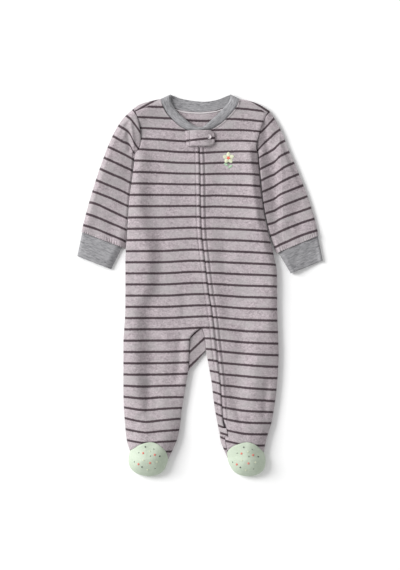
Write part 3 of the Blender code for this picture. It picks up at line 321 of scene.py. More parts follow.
# How full the cloth lies: height of the side seam, of the ridge inside the edge and of the middle;
# how far in that ridge runs at the right side, the left side and the inner legs.
Loft = namedtuple("Loft", "y seam peak mid roll left_roll inner_roll")
BODY_LOFT = [Loft(*row) for row in (
    (320, 6, 11.6, 6.4, 9, 9, 9), (228, 6, 11.6, 6.4, 9, 9, 9),
    (205, 6.8, 13.4, 6.8, 11, 14, 6), (180, 7.6, 14.2, 7.2, 10, 9.5, 6),
    (120, 8, 14.8, 7.4, 16, 10.5, 6), (60, 8, 15, 7.4, 31, 11.5, 6),
    (4, 8, 15, 7.4, 33, 10, 6), (-42, 8, 15, 7, 17, 13, 3),
    (-80, 8, 15.6, 7.2, 17, 21, 3), (-114, 8, 16.8, 7.6, 18, 27, 3.5),
    (-150, 8, 17, 8.4, 20, 31, 8), (-180, 8, 17, 9.6, 22, 34, 20),
    (-215, 8, 18.6, 15, 26, 34, 27), (-250, 8, 23.6, 22.6, 28, 31, 28),
    (-278, 8, 29, 29, 30, 30, 30), (-320, 8, 29, 29, 30, 30, 30),
)]
RIGHT_FALL, LEFT_FALL, INNER_FALL = 15.0, 32.0, 15.0      # how far the ridge takes to fall again
# The ridge is lower beside the inner legs: the share of it that is left at the right and the left,
# how far in it has its whole height again, and how much further in it runs on the inner strip.
RIGHT_INNER_PEAK, LEFT_INNER_PEAK, PEAK_RECOVERS, STRIP_ROLL = 0.25, 0.4, 20.0, 3.0
ROUND_SHARE = 0.35       # how much of the rounded edge is a quarter circle; the rest rises evenly
HALF_GAP = 0.15          # the fronts and the back keep this far off the seam's middle
# The zip lifts the fronts: how high, how far to each side, and how far to the left below the chest.
ZIP_RIDGE, ZIP_RIDGE_WIDTH, ZIP_RIDGE_REACH, ZIP_RIDGE_SPREADS_Y = 2.6, 10.0, 26.0, 100.0
ZIP_RIDGE_EASES, ZIP_RIDGE_STARTS = 60.0, 9.0
CREASES_FROM, CREASES_OVER, WAVES_OVER = 4.0, 8.0, 14.0      # how far in from the outline

# Soft troughs in the fronts, from end to end, with their half width and their depth. A ridge has
# its depth below zero. Where far is given, it is the half width towards the wearer's left.
Crease = namedtuple("Crease", "x0 y0 x1 y1 width depth far", defaults=(None,))
FRONT_CREASES = [Crease(*row) for row in (
    (-62, 96, -64, -8, 10, 1.4), (-80, -40, -80, -160, 9, 1.3),
    (-82, -160, -84, -206, 6, 1.6), (-52, -64, -60, -196, 9, -1.5),
    (-31, -84, -36, -150, 6.5, 2.8), (-38, -6, -36, -56, 9, -0.8),
    (-24, -10, -26, -52, 6, 0.7), (-4, -12, -3, -58, 8, -0.8),
    (67, -78, 61, -190, 11, 2.4), (88, -74, 84, -176, 11, -1.8),
    (57.6, -197, 64.6, -219, 3.2, 1.7), (107, -156, 103, -206, 5, 2),
    (-92, 176, -66, 132, 8, 0.9), (-86, 262, -60, 236, 5, 0.5),
    (88, 258, 64, 232, 5.5, 0.6), (-40, 196, -30, 150, 7, 0.5),
    (30, 196, 34, 118, 9, 0.8), (79, 214, 84, 160, 9, -3.2),
    (84, 160, 91, 108, 9, -3), (91, 108, 103, 56, 10, -1.8),
    (37, 84, 45, -50, 11, 1.7), (-52, -232, -66, -214, 4, 0.8),
    (-104, -226, -92, -206, 4.5, 0.8), (90, -236, 78, -212, 4.5, 0.8),
)]
# Slow waves of a cloth that was smoothed out by hand.
Wave = namedtuple("Wave", "across down start height")
WAVES = [Wave(*row) for row in (
    (83, 210, 0.4, 0.28), (47, -130, 2.1, 0.22), (151, 61, 4, 0.24),
    (-66, 45, 1.3, 0.16), (36, 96, 5.2, 0.13),
)]
SEAM_DIP, SEAM_DIP_WIDTH = 1.0, 1.5


def ease(share):
    """0 to 1 with a soft start and a soft end."""
    share = np.clip(share, 0, 1)
    return share * share * (3 - 2 * share)


def bell(away, width):
    """1 in the middle of a bump or a dip, falling off softly on both sides."""
    return np.exp(-(away / width) ** 2)


def quarter_round(share):
    return np.sqrt(1 - (1 - np.clip(share, 0, 1)) ** 2)


def rounded_edge(away, loft, roll):
    """Height this far in from the outline, rounded up from the seam to the ridge."""
    share = np.clip(away / roll, 0, 1)
    rise = ROUND_SHARE * quarter_round(share) + (1 - ROUND_SHARE) * np.sin(share * math.pi / 2)
    return loft.seam + (loft.peak - loft.seam) * rise


def past_ridge(away, loft, roll, fall):
    """Height this far in from the outline, falling from the ridge to the middle."""
    beyond = bell(np.maximum(away - roll, 0), fall)
    return loft.mid + (loft.peak - loft.mid) * beyond


def crown(away, loft, roll, fall):
    return np.minimum(rounded_edge(away, loft, roll), past_ridge(away, loft, roll, fall))


def between(rows, at):
    """The row of a table for each place, by its first column, which may rise or fall."""
    first, *columns = np.array(rows).T
    way = np.sign(first[-1] - first[0])
    return rows[0]._make([at, *(np.interp(way * at, way * first, c) for c in columns)])


def outline_away(places, outline):
    return np.min([curve.away(places) for curve in outline], axis=0)


def crease_depth(places, creases):
    depth = np.zeros(len(places))
    for c in creases:
        line = np.array(((c.x0, c.y0), (c.x1, c.y1)))
        turned_left = (c.x1 - c.x0) * (places[:, 1] - c.y0) - (c.y1 - c.y0) * (places[:, 0] - c.x0)
        width = np.where(turned_left > 0, c.far or c.width, c.width)
        depth += c.depth * bell(away_from(line, places), width)
    return depth


def drift(places):
    total = np.zeros(len(places))
    for wave in WAVES:
        turn = places[:, 0] / wave.across + places[:, 1] / wave.down
        total += wave.height * np.sin(2 * math.pi * turn + wave.start)
    return total


def seam_dip(places, seams):
    """How far the cloth is drawn down beside its seams."""
    return SEAM_DIP * bell(outline_away(places, seams), SEAM_DIP_WIDTH)


LIP_RISE, LIP_AT, LIP_WIDTH, LIP_TOP_Y, LIP_ENDS_OVER = 1.1, 1.1, 1.1, 296.0, 14.0


def seam_lip(away, y):
    """Fleece that is sewn to the neckband stands up in a soft lip, up to the shoulder."""
    lip = bell(away - LIP_AT, LIP_WIDTH)
    return LIP_RISE * lip * ease((LIP_TOP_Y - y) / LIP_ENDS_OVER)


FOLD_DROP, FOLD_WIDTH = 1.2, 0.9           # the folded edge at the zip rolls under,
RIDGE_RISE, RIDGE_AT, RIDGE_WIDTH = 0.7, 2.9, 1.7
GROOVE_DEPTH, GROOVE_AT, GROOVE_WIDTH = 1.1, 6.4, 1.3     # and its topstitching pulls a groove
GROOVE_FADES, GROOVE_FADES_Y, GROOVE_FADES_OVER = 0.5, -100.0, 60.0
FOLD_ENDS_OVER = 12.0


def groove_depth(y):
    """The topstitching pulls less and less down the leg."""
    return GROOVE_DEPTH * (1 - GROOVE_FADES * ease((GROOVE_FADES_Y - y) / GROOVE_FADES_OVER))


def zip_profile(away, y):
    fold = FOLD_DROP * bell(away, FOLD_WIDTH)
    ridge = RIDGE_RISE * bell(away - RIDGE_AT, RIDGE_WIDTH)
    groove = groove_depth(y) * bell(away - GROOVE_AT, GROOVE_WIDTH)
    return (ridge - fold - groove) * ease((y - ZIP_END_Y) / FOLD_ENDS_OVER)


def front_height(places):
    """Height of the fronts over places in plan, without their seams."""
    y = places[:, 1]
    loft = between(BODY_LOFT, y)
    away, rounded, beyond = [], [], []
    for curves, roll, fall, share in (
        (RIGHT_EDGES, loft.roll, RIGHT_FALL, 1), (LEFT_EDGES, loft.left_roll, LEFT_FALL, 1),
        ((FRONT_INNER_LEG,), loft.inner_roll, INNER_FALL, RIGHT_INNER_PEAK),
        ((LEFT_INNER_LEG,), loft.inner_roll + STRIP_ROLL, INNER_FALL, LEFT_INNER_PEAK),
    ):
        here = outline_away(places, curves)
        low = loft._replace(peak=loft.mid + share * (loft.peak - loft.mid))
        away.append(here)
        recovered = (loft.peak - low.peak) * ease((here - roll) / PEAK_RECOVERS)
        rounded.append(rounded_edge(here, low, roll) + recovered)
        beyond.append(past_ridge(here, low, roll, fall))
    away = np.min(away, axis=0)
    height = np.minimum(np.min(rounded, axis=0), np.max(beyond, axis=0)) + HALF_GAP
    to_left = ease((places[:, 0] - ZIP.x_at(y)) / 2)
    spread = ease((ZIP_RIDGE_SPREADS_Y - y) / ZIP_RIDGE_EASES)
    width = ZIP_RIDGE_WIDTH + (ZIP_RIDGE_REACH - ZIP_RIDGE_WIDTH) * to_left * spread
    rise = ZIP_RIDGE * bell(ZIP.away(places), width)
    height += rise * ease(away / ZIP_RIDGE_STARTS) * ease((y - ZIP_END_Y) / ZIP_RIDGE_EASES)
    creases = crease_depth(places, FRONT_CREASES) * ease((away - CREASES_FROM) / CREASES_OVER)
    return height - creases + drift(places) * ease(away / WAVES_OVER)


# Heights of every fourth stripe, counted from the shoulder, at named distances across.
STRIPE_NUMBERS = (-2, 0, 4, 8, 12, 16, 20, 24, 26, 28, 30, 33)
RIGHT_GRAIN_X = (-120.8, -88.8, -63.2, -40.8, -15.2, 8.8, 40.0)
RIGHT_GRAIN = (
    (322, 321, 320, 320, 318, 317, 316), (285.5, 285, 284.2, 283.5, 281, 280, 279),
    (217.5, 216.5, 215, 213, 212, 212, 212), (143.8, 144, 144, 143.8, 143.7, 143.6, 143.4),
    (71.5, 71.8, 72, 73, 74.2, 73.6, 73), (1, 0.9, 0.8, 1.6, 3.2, 3.2, 3),
    (-70.9, -70.7, -70.7, -70.3, -69.1, -68, -68.6),
    (-142.9, -143.2, -143, -142.4, -141.3, -136.6, -142),
    (-178.7, -181.1, -179.5, -179.2, -178, -168.8, -176.8),
    (-212.6, -218.4, -216.3, -214.1, -212, -201, -211.2),
    (-247.2, -251.8, -250.1, -249.3, -248, -236, -245.6),
    (-296, -300, -299, -298, -297, -287, -294),
)


def grain_lines(x, grain_x, grain):
    """The height of each tabled stripe over x, as smooth curves."""
    curves = [Curve(list(zip(grain_x, row))).points for row in grain]
    return np.array([np.interp(x, c[:, 0], c[:, 1]) for c in curves])


def stripe_phase(grain_x, grain, numbers=STRIPE_NUMBERS, pitch_above=np.inf):
    """A function that gives the running number of the stripe over each place of a piece. It is
    whole in a stripe's middle."""
    def phase(places):
        x, y = places[:, 0], places[:, 1]
        lines = grain_lines(x, grain_x, grain)
        number = numbers[0] - (y - lines[0]) / pitch_above
        for k in range(len(grain) - 1):
            share = (lines[k] - y) / (lines[k] - lines[k + 1])
            here = numbers[k] + share * (numbers[k + 1] - numbers[k])
            number = np.where(share >= 0, here, number)
        return number
    return phase


def patch(top, bottom, right, left, across, down):
    """A grid of plan points that fills the space between four edges, by shares across and down."""
    u, v = across[None, :, None], down[:, None, None]
    t, b, r, w = top(across), bottom(across), right(down), left(down)
    edges = (1 - v) * t[None] + v * b[None] + (1 - u) * r[:, None] + u * w[:, None]
    corners = (1 - v) * ((1 - u) * t[0] + u * t[-1]) + v * ((1 - u) * b[0] + u * b[-1])
    return edges - corners


def level(a, b):
    """The straight line between two points, by shares."""
    a, b = np.array(a, float), np.array(b, float)
    return lambda shares: a + (b - a) * np.asarray(shares)[:, None]


def part_of(curve, y_top, y_bottom, shift=None):
    """The stretch of a curve between two heights, by shares of its height."""
    def at(shares):
        y = y_top + (y_bottom - y_top) * np.asarray(shares)
        x = curve.x_at(y) + (shift(y) if shift else 0.0)
        return np.stack([x, y], -1)
    return at


ROLLED = (0, 0.25, 0.8, 1.7, 3.0, 4.7, 6.8, 9.2)           # steps in from a rounded edge,
SEWN = (0, 0.5, 1.1, 1.8, 2.8, 4.2)                       # from a seam,
FOLDED = (0, 0.35, 0.8, 1.4, 2.1, 2.9, 3.8, 4.7, 5.4, 6.0, 6.5, 7.1, 7.9, 9.0)   # and from the zip
STEP = 2.3


def shares_of(width, first, last, step=STEP):
    """Shares across a width: fine steps at both ends, and even ones between."""
    first, last = np.array(first, float), width - np.array(last[::-1], float)
    count = max(2, round((last[0] - first[-1]) / step))
    middle = np.linspace(first[-1], last[0], count + 1)[1:-1]
    return np.concatenate([first, middle, last]) / width


def unit(vectors):
    """The same directions at length one."""
    return vectors / np.maximum(np.linalg.norm(vectors, axis=-1, keepdims=True), 1e-9)


def raised(places, height):
    return np.concatenate([places, height[..., None]], -1)


def with_height(places, height):
    """Points over a grid in plan, at the height that a function gives for each place."""
    return raised(places, height(places.reshape(-1, 2)).reshape(places.shape[:2]))


def numbered(rows, columns, first=0, closed=False):
    """The numbers of a grid's points. A closed grid meets its first column again."""
    number = np.arange(rows * columns).reshape(rows, columns) + first
    return np.hstack([number, number[:, :1]]) if closed else number


def quads(number):
    corners = number[:-1, :-1], number[1:, :-1], number[1:, 1:], number[:-1, 1:]
    return np.stack(corners, -1).reshape(-1, 4)


def welded(grids, up, closed):
    """Points, faces by their corners, and each corner's place on the cloth, from grids that meet.
    Each grid comes with the function of its stripes; points that coincide are shared."""
    points, spread, faces, count = [], [], [], 0
    for places, phase in grids:
        faces.append(quads(numbered(*places.shape[:2], count, closed)))
        flat = places.reshape(-1, 3)
        points.append(flat)
        spread.append(np.stack([flat[:, 0], phase(flat[:, :2]) * STRIPE_PITCH], -1) * MM)
        count += len(flat)
    points, faces = np.vstack(points), np.vstack(faces)
    faces = faces if up else faces[:, ::-1]
    keys = np.round(points / WELD).astype(np.int64)
    _, first, joined = np.unique(keys, axis=0, return_index=True, return_inverse=True)
    return points[first], joined.reshape(-1)[faces], np.vstack(spread)[faces]


def normals_of(points, faces):
    a, b, c, d = (points[faces[:, k]] for k in range(4))
    out = np.cross(c - a, d - b)
    total = np.zeros_like(points)
    for k in range(4):
        np.add.at(total, faces[:, k], out)
    return unit(total)


WELD = 0.001             # points closer than this are one point
SHARP_DEGREES = 50
SIDE_SEAM_TILT = 0.75    # a rim that is steeper than this is cut square to the surface it lies on
FLEECE = 2.0


def add_mesh(name, points, faces, material, corners=None, replaces=()):
    """A piece from points in millimetres; it takes its slot and stands for its nodes."""
    whole, used = [], []
    for number, face in enumerate(faces):
        kept = {}
        for corner, point in enumerate(face):
            kept.setdefault(int(point), corner)
        if len(kept) > 2:
            whole.append(list(kept))
            if corners is not None:
                used += [corners[number][corner] for corner in kept.values()]
    mesh = bpy.data.meshes.new(name)
    mesh.from_pydata((np.asarray(points) * MM).tolist(), [], whole)
    if corners is not None:
        layer = mesh.uv_layers.new(name="cloth")
        layer.data.foreach_set("uv", np.array(used, np.float32).ravel())
    mesh.validate()
    mesh.materials.append(material)
    mesh.shade_smooth()
    mesh.set_sharp_from_angle(angle=math.radians(SHARP_DEGREES))
    made = bpy.data.objects.new(name, mesh)
    bpy.context.scene.collection.objects.link(made)
    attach(made, "root")
    if replaces:
        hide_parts(*replaces)
    return made


def cloth(name, replaces, grids, wall=FLEECE, up=True, closed=False, material=STRIPED):
    """Closes grids into a piece of cloth: the skin, the same one wall in, and a rim round it."""
    points, faces, corners = welded(grids, up, closed)
    out = normals_of(points, faces)
    count = len(points)
    directed = np.vstack([faces[:, [k, (k + 1) % 4]] for k in range(4)])
    places = np.vstack([corners[:, [k, (k + 1) % 4]] for k in range(4)])
    real = directed[:, 0] != directed[:, 1]
    directed, places = directed[real], places[real]
    codes = directed[:, 0] * count + directed[:, 1]
    alone = ~np.isin(codes, directed[:, 1] * count + directed[:, 0])
    rim, rim_places = directed[alone], places[alone]
    at_rim = np.zeros(count, bool)
    at_rim[rim.ravel()] = True
    out[at_rim & (np.abs(out[:, 2]) < SIDE_SEAM_TILT), 2] = 0
    inner = points - unit(out) * wall
    rims = np.stack([rim[:, 1], rim[:, 0], rim[:, 0] + count, rim[:, 1] + count], -1)
    return add_mesh(
        name, np.vstack([points, inner]), np.vstack([faces, faces[:, ::-1] + count, rims]),
        material, np.concatenate([corners, corners[:, ::-1], rim_places[:, [1, 0, 0, 1]]]),
        replaces)


CROWD = 1.35             # how much closer the columns of a yoke stand at the armhole


def crowd_first(shares):
    return np.clip(shares, 0, 1) ** CROWD


def crowd_last(shares):
    return 1 - (1 - np.clip(shares, 0, 1)) ** CROWD


def shoulder_and_neck(shoulder, neckline, corner, shoulder_first):
    """The top edge of a front, by shares: its shoulder seam and its neckline, or the reverse."""
    first, last = (shoulder, neckline) if shoulder_first else (neckline, shoulder)

    def at(shares):
        shares = np.asarray(shares)
        on_first = first.at(crowd_last(shares / corner))
        on_last = last.at(crowd_first((shares - corner) / (1 - corner)))
        return np.where((shares < corner)[:, None], on_first, on_last)
    return at


def nearest(values, goal):
    return values[np.argmin(np.abs(values - goal))]


def stretch_of(curve, start, end):
    """The stretch of a curve between two shares of its length."""
    return lambda shares: curve.at(start + (end - start) * np.asarray(shares))


# The back comes forward over the shoulder to a seam a few millimetres below the edge. Its stripes
# run on the slant there.
YOKE_SHARE = 0.085       # share of the armhole that the back's strip takes
YOKE_DIP, YOKE_DIP_WIDTH, YOKE_SLANT = 0.5, 1.1, 0.863
RIGHT_YOKE_SEAM = Curve((
    RIGHT_ARMHOLE.at(np.array([YOKE_SHARE]))[0], (-95.0, 280.6), (-84.0, 285.4), (-72.0, 291.6),
    (-63.0, 297.4)))
RIGHT_YOKE_STRIPE = (-102.7, 277.4, 0.586)       # a point on its stripe, and how steeply that rises
RIGHT_NECK_SHARE = 0.4   # how far across the piece its neckline and its shoulder meet
CHEST_LONG, TRUNK_LONG, LEG_LONG = 72.0, 280.0, 190.0
CHEST_ROWS = shares_of(CHEST_LONG, (0, 0.5, 1.1, 1.8, 2.8, 4.2, 6.2), (0, 1.2))
TRUNK_ROWS = shares_of(TRUNK_LONG, (0, 1), (0, 0.3, 0.9, 1.8, 3.2, 5.2, 7.6, 10.2))
LEG_ROWS = shares_of(LEG_LONG, (0, 0.3, 0.9, 1.8, 3.2, 5.2), SEWN)
YOKE_ROWS = np.array((0, 0.04, 0.12, 0.25, 0.42, 0.6, 0.78, 0.9, 1.0))


def yoke_phase(stripe):
    x, y, rise = stripe
    return lambda places: (
        (y + rise * (places[:, 0] - x) - places[:, 1]) * YOKE_SLANT / STRIPE_PITCH)


def sew_front(name, replaces, grids, seams, yoke_seam, neckline, zip_edge):
    """A front from its grids in plan, with its seams, its neckline and its fold at the zip."""
    def height(places):
        y = places[:, 1]
        whole = front_height(places) - seam_dip(places, seams) + seam_lip(neckline.away(places), y)
        whole -= YOKE_DIP * bell(yoke_seam.away(places), YOKE_DIP_WIDTH)
        return whole + zip_profile(zip_edge.away(places), y)

    return cloth(name, replaces, [(with_height(places, height), phase) for places, phase in grids])


def build_right_front():
    outer, inner = LEGS[0].right_outer, CROTCH_POINT[0]
    strip_x, zip_x = LEGS[0].left_inner, float(ZIP.x_at(CROTCH_Y))
    leg_shares = shares_of(inner - outer, ROLLED, ROLLED)
    strip_shares = shares_of(zip_x - strip_x, ROLLED[:5], FOLDED[:11], step=1.2)
    xs = np.concatenate([
        outer + (inner - outer) * leg_shares,
        np.linspace(inner, strip_x, 4)[1:-1],
        strip_x + (zip_x - strip_x) * strip_shares])
    across = (xs - outer) / (zip_x - outer)
    corner = nearest(across, RIGHT_NECK_SHARE)
    underarm = [(RIGHT_SIDE.x_at(UNDERARM_Y), UNDERARM_Y), (ZIP.x_at(UNDERARM_Y), UNDERARM_Y)]
    crotch = [(outer, CROTCH_Y), (zip_x, CROTCH_Y)]
    cap_seam = Curve(RIGHT_CAP_SEAM)
    yoke = patch(RIGHT_SHOULDER.at, RIGHT_YOKE_SEAM.at, stretch_of(RIGHT_ARMHOLE, 0, YOKE_SHARE),
                 level((-63.0, 297.4), (-63.0, 297.4)),
                 crowd_last(across[across <= corner] / corner), YOKE_ROWS)
    chest = patch(shoulder_and_neck(RIGHT_YOKE_SEAM, RIGHT_NECKLINE, corner, True),
                  level(*underarm), stretch_of(RIGHT_ARMHOLE, YOKE_SHARE, 1),
                  part_of(ZIP, ZIP_TOP_Y, UNDERARM_Y), across, CHEST_ROWS)
    trunk = patch(level(*underarm), level(*crotch), part_of(RIGHT_SIDE, UNDERARM_Y, CROTCH_Y),
                  part_of(ZIP, UNDERARM_Y, CROTCH_Y), across, TRUNK_ROWS)
    leg = patch(level((outer, CROTCH_Y), (inner, CROTCH_Y)), cap_seam.at,
                part_of(RIGHT_SIDE, CROTCH_Y, RIGHT_CAP_SEAM[0][1]),
                part_of(FRONT_INNER_LEG, CROTCH_Y, RIGHT_CAP_SEAM[-1][1]), leg_shares, LEG_ROWS)
    strip = patch(level((strip_x, CROTCH_Y), (zip_x, CROTCH_Y)), level(*LEFT_CAP_SEAM[:2]),
                  part_of(LEFT_INNER_LEG, CROTCH_Y, LEFT_CAP_SEAM[0][1]),
                  part_of(ZIP, CROTCH_Y, LEFT_CAP_SEAM[1][1]), strip_shares, LEG_ROWS)
    stripes = stripe_phase(RIGHT_GRAIN_X, RIGHT_GRAIN)
    grids = [(yoke, yoke_phase(RIGHT_YOKE_STRIPE)), (chest, stripes), (trunk, stripes),
             (leg, stripes), (strip, stripes)]
    seams = (RIGHT_ARMHOLE, cap_seam, Curve(LEFT_CAP_SEAM[:2]))
    return sew_front("right_front_fleece", ["front_right"], grids, seams, RIGHT_YOKE_SEAM,
                     RIGHT_NECKLINE, ZIP)


right_front = build_right_front()


# ---- left front -------------------------------------------------------------------------------
# The front from the zip to the wearer's left side, with the left leg outside the zip, in the same
# fleece. Its stripes were matched to the right front's when it was cut, to within a millimetre.

LEFT_ARMHOLE = Curve((
    (110, 279), (105.6, 271.5), (101.6, 262.5), (97.3, 251.5), (94, 240), (90.6, 228),
    (89.8, 218.0), (92.0, 211.0)))
LEFT_NECKLINE = Curve((
    (3.4, 245.7), (14.9, 247.8), (24, 251.5), (36, 259.8), (47, 270.7), (58.6, 284.6),
    (63.0, 297.4)))
ZIP_SLOT, SLIDER_SLOT, SLIDER_SLOT_Y, SLIDER_SLOT_EASE = 1.6, 5.8, 220.0, 9.0
LOWER_SEAM_GAP = 1.1
LEFT_GRAIN_X = (0.8, 24.8, 48.8, 72.8, 104.8, 121.0)
LEFT_GRAIN = (
    (318, 318, 317, 316, 313, 311), (282, 283, 282.5, 281, 277, 275),
    (211, 212.3, 213.2, 213.4, 211.7, 210), (142.2, 143, 142.4, 141.4, 138.9, 137),
    (72.3, 72.6, 71.6, 70.7, 68.6, 66.8), (1.4, 1.4, 0, -1.1, -1.8, -2.4),
    (-69.4, -69.3, -71.6, -73.8, -74.7, -75.2), (-141, -141.8, -143.8, -145.8, -148.3, -149),
    (-176, -176.6, -179.2, -182.4, -184.6, -186), (-211, -210.6, -215.8, -219.4, -220.5, -221),
    (-246, -246, -250.5, -255.4, -256.5, -257), (-293, -293, -298, -303, -304, -305),
)


def slot_width(y):
    """Distance between the fronts: wide round the slider, narrow along the rest of the zip."""
    wide = ZIP_SLOT + (SLIDER_SLOT - ZIP_SLOT) * ease((y - SLIDER_SLOT_Y) / SLIDER_SLOT_EASE)
    return np.where(np.asarray(y) < ZIP_END_Y, LOWER_SEAM_GAP, wide)


LEFT_NECK_SHARE = 0.52
SLIT_OPENS, SLIT_OPENS_Y, SLIT_OPENS_OVER = 3.4, -214.0, 12.0
FOLD_OVERHANG, OVERHANG_ENDS = 0.4, 0.2      # brushed fibres close the gap over the coils
ZIP_LEFT_EDGE = Curve(
    part_of(ZIP, ZIP_TOP_Y, LEFT_CAP_SEAM[1][1], slot_width)(np.linspace(0, 1, 60)))
LEFT_YOKE_SEAM = Curve((
    (63, 297.4), (72, 293.6), (84, 288.4), (96, 281.4),
    LEFT_ARMHOLE.at(np.array([YOKE_SHARE]))[0]))
LEFT_YOKE_STRIPE = (94.2, 287.0, -0.62)


def left_zip_edge(y):
    """How far from the zip line the left front's folded edge lies. It opens towards the end tab."""
    opening = SLIT_OPENS * ease((SLIT_OPENS_Y - y) / SLIT_OPENS_OVER) * (np.asarray(y) > ZIP_END_Y)
    narrow = ease((ZIP_SLOT + OVERHANG_ENDS - slot_width(y)) / OVERHANG_ENDS)
    return slot_width(y) - FOLD_OVERHANG * narrow + opening


def build_left_front():
    outer, zip_x = float(LEFT_SIDE.x_at(CROTCH_Y)), float(ZIP.x_at(CROTCH_Y)) + ZIP_SLOT
    across = shares_of(outer - zip_x, FOLDED, ROLLED)
    corner = nearest(across, LEFT_NECK_SHARE)
    underarm, crotch = (
        [(ZIP.x_at(y) + left_zip_edge(y), y), (float(LEFT_SIDE.x_at(y)), y)]
        for y in (UNDERARM_Y, CROTCH_Y))
    seam = Curve(LEFT_CAP_SEAM[1:])
    on_shoulder = (across[across >= corner] - corner) / (1 - corner)
    yoke = patch(LEFT_SHOULDER.at, LEFT_YOKE_SEAM.at, level((63.0, 297.4), (63.0, 297.4)),
                 stretch_of(LEFT_ARMHOLE, 0, YOKE_SHARE), crowd_first(on_shoulder), YOKE_ROWS)
    chest = patch(shoulder_and_neck(LEFT_YOKE_SEAM, LEFT_NECKLINE, corner, False),
                  level(*underarm), part_of(ZIP, ZIP_TOP_Y + 0.1, UNDERARM_Y, left_zip_edge),
                  stretch_of(LEFT_ARMHOLE, YOKE_SHARE, 1), across, CHEST_ROWS)
    trunk = patch(level(*underarm), level(*crotch),
                  part_of(ZIP, UNDERARM_Y, CROTCH_Y, left_zip_edge),
                  part_of(LEFT_SIDE, UNDERARM_Y, CROTCH_Y), across, TRUNK_ROWS)
    leg = patch(level(*crotch), seam.at,
                part_of(ZIP, CROTCH_Y, LEFT_CAP_SEAM[1][1], left_zip_edge),
                part_of(LEFT_SIDE, CROTCH_Y, LEFT_CAP_SEAM[-1][1]), across, LEG_ROWS)
    stripes = stripe_phase(LEFT_GRAIN_X, LEFT_GRAIN)
    grids = [(yoke, yoke_phase(LEFT_YOKE_STRIPE)), (chest, stripes), (trunk, stripes),
             (leg, stripes)]
    return sew_front("left_front_fleece", ["front_left"], grids, (LEFT_ARMHOLE, seam),
                     LEFT_YOKE_SEAM, LEFT_NECKLINE, ZIP_LEFT_EDGE)


left_front = build_left_front()


# ---- back -------------------------------------------------------------------------------------
# The back of the body and both legs, cut in one. It lies flat on the surface and rounds up at its
# edges to the side seams; its inside shows through the neck.

BACK_NECKLINE = Curve((
    (-63, 297.4), (-52, 289), (-40, 283), (-26, 278.4), (0, 276.6), (24, 279),
    (39, 284), (52, 290), (63, 297.4)))
HEEL_BOW = 8.0
BACK_GRAIN_X = (-120.8, -63.2, 0.0, 63.2, 121.0)
BACK_GRAIN = tuple(
    (row[0], row[2], (row[4] + other[1]) / 2 - 2, other[3], other[5])
    for row, other in zip(RIGHT_GRAIN, LEFT_GRAIN))
BACK_EDGE, BACK_HEM = (0, 0.2, 0.7, 1.5, 2.6, 4.0, 6.0), (0, 0.4, 1.4, 3.0, 6.0)
BACK_CHEST_LONG, BACK_LEG_LONG, BACK_NECK_SHARES = 80.0, 200.0, (0.22, 0.78)


def belly(away, loft):
    """Height of the underside this far in from the outline: rounded up at the edge, then flat."""
    return loft.seam * (1 - quarter_round(away / loft.seam))


def under_height(places):
    loft = between(BODY_LOFT, places[:, 1])
    return belly(outline_away(places, BODY_OUTLINE), loft) * (1 - HALF_GAP / loft.seam)


def heel_seam(start, end):
    """The seam under the foot, bowed towards the leg."""
    start, end = np.array(start), np.array(end)
    return Curve([start + (end - start) * t + (0, HEEL_BOW * (1 - (2 * t - 1) ** 2))
                  for t in np.linspace(0, 1, 5)])


def build_back():
    g = LEGS[0]
    right_shares = shares_of(g.right_inner - g.right_outer, BACK_EDGE, BACK_EDGE, step=4.0)
    left_shares = shares_of(g.left_outer - g.left_inner, BACK_EDGE, BACK_EDGE, step=4.0)
    xs = np.concatenate([
        g.right_outer + (g.right_inner - g.right_outer) * right_shares,
        np.linspace(g.right_inner, g.left_inner, 7)[1:-1],
        g.left_inner + (g.left_outer - g.left_inner) * left_shares])
    across = (xs - xs[0]) / (xs[-1] - xs[0])
    first, last = (nearest(across, share) for share in BACK_NECK_SHARES)

    def top(shares):
        shares = np.asarray(shares)
        on_right = RIGHT_SHOULDER.at(crowd_last(shares / first))
        on_neck = BACK_NECKLINE.at((shares - first) / (last - first))
        on_left = LEFT_SHOULDER.at(crowd_first((shares - last) / (1 - last)))
        rows = np.where((shares < first)[:, None], on_right, on_neck)
        return np.where((shares > last)[:, None], on_left, rows)

    underarm = [(side.x_at(UNDERARM_Y), UNDERARM_Y) for side in (RIGHT_SIDE, LEFT_SIDE)]
    crotch = [(xs[0], CROTCH_Y), (xs[-1], CROTCH_Y)]
    chest_rows = shares_of(BACK_CHEST_LONG, (0, 0.4, 1.2, 2.4, 4.0, 6.0), (0, 2), step=3.0)
    trunk_rows = shares_of(TRUNK_LONG, (0, 2), BACK_HEM, step=5.0)
    leg_rows = shares_of(BACK_LEG_LONG, BACK_HEM, (0, 1, 2.5, 5), step=5.0)
    grids = [
        patch(top, level(*underarm), RIGHT_ARMHOLE.at, LEFT_ARMHOLE.at, across, chest_rows),
        patch(level(*underarm), level(*crotch), part_of(RIGHT_SIDE, UNDERARM_Y, CROTCH_Y),
              part_of(LEFT_SIDE, UNDERARM_Y, CROTCH_Y), across, trunk_rows)]
    for outer, inner, ends, shares in (
        (RIGHT_SIDE, RIGHT_INNER_LEG, (RIGHT_CAP_SEAM[0], RIGHT_CAP_SEAM[-1]), right_shares),
        (LEFT_INNER_LEG, LEFT_SIDE, (LEFT_CAP_SEAM[0], LEFT_CAP_SEAM[-1]), left_shares),
    ):
        start = [(outer.x_at(CROTCH_Y), CROTCH_Y), (inner.x_at(CROTCH_Y), CROTCH_Y)]
        grids.append(patch(
            level(*start), heel_seam(*ends).at, part_of(outer, CROTCH_Y, ends[0][1]),
            part_of(inner, CROTCH_Y, ends[1][1]), shares, leg_rows))
    stripes = stripe_phase(BACK_GRAIN_X, BACK_GRAIN)
    grids = [(with_height(places, under_height), stripes) for places in grids]
    return cloth("back_fleece", ["back"], grids, up=False)


back = build_back()


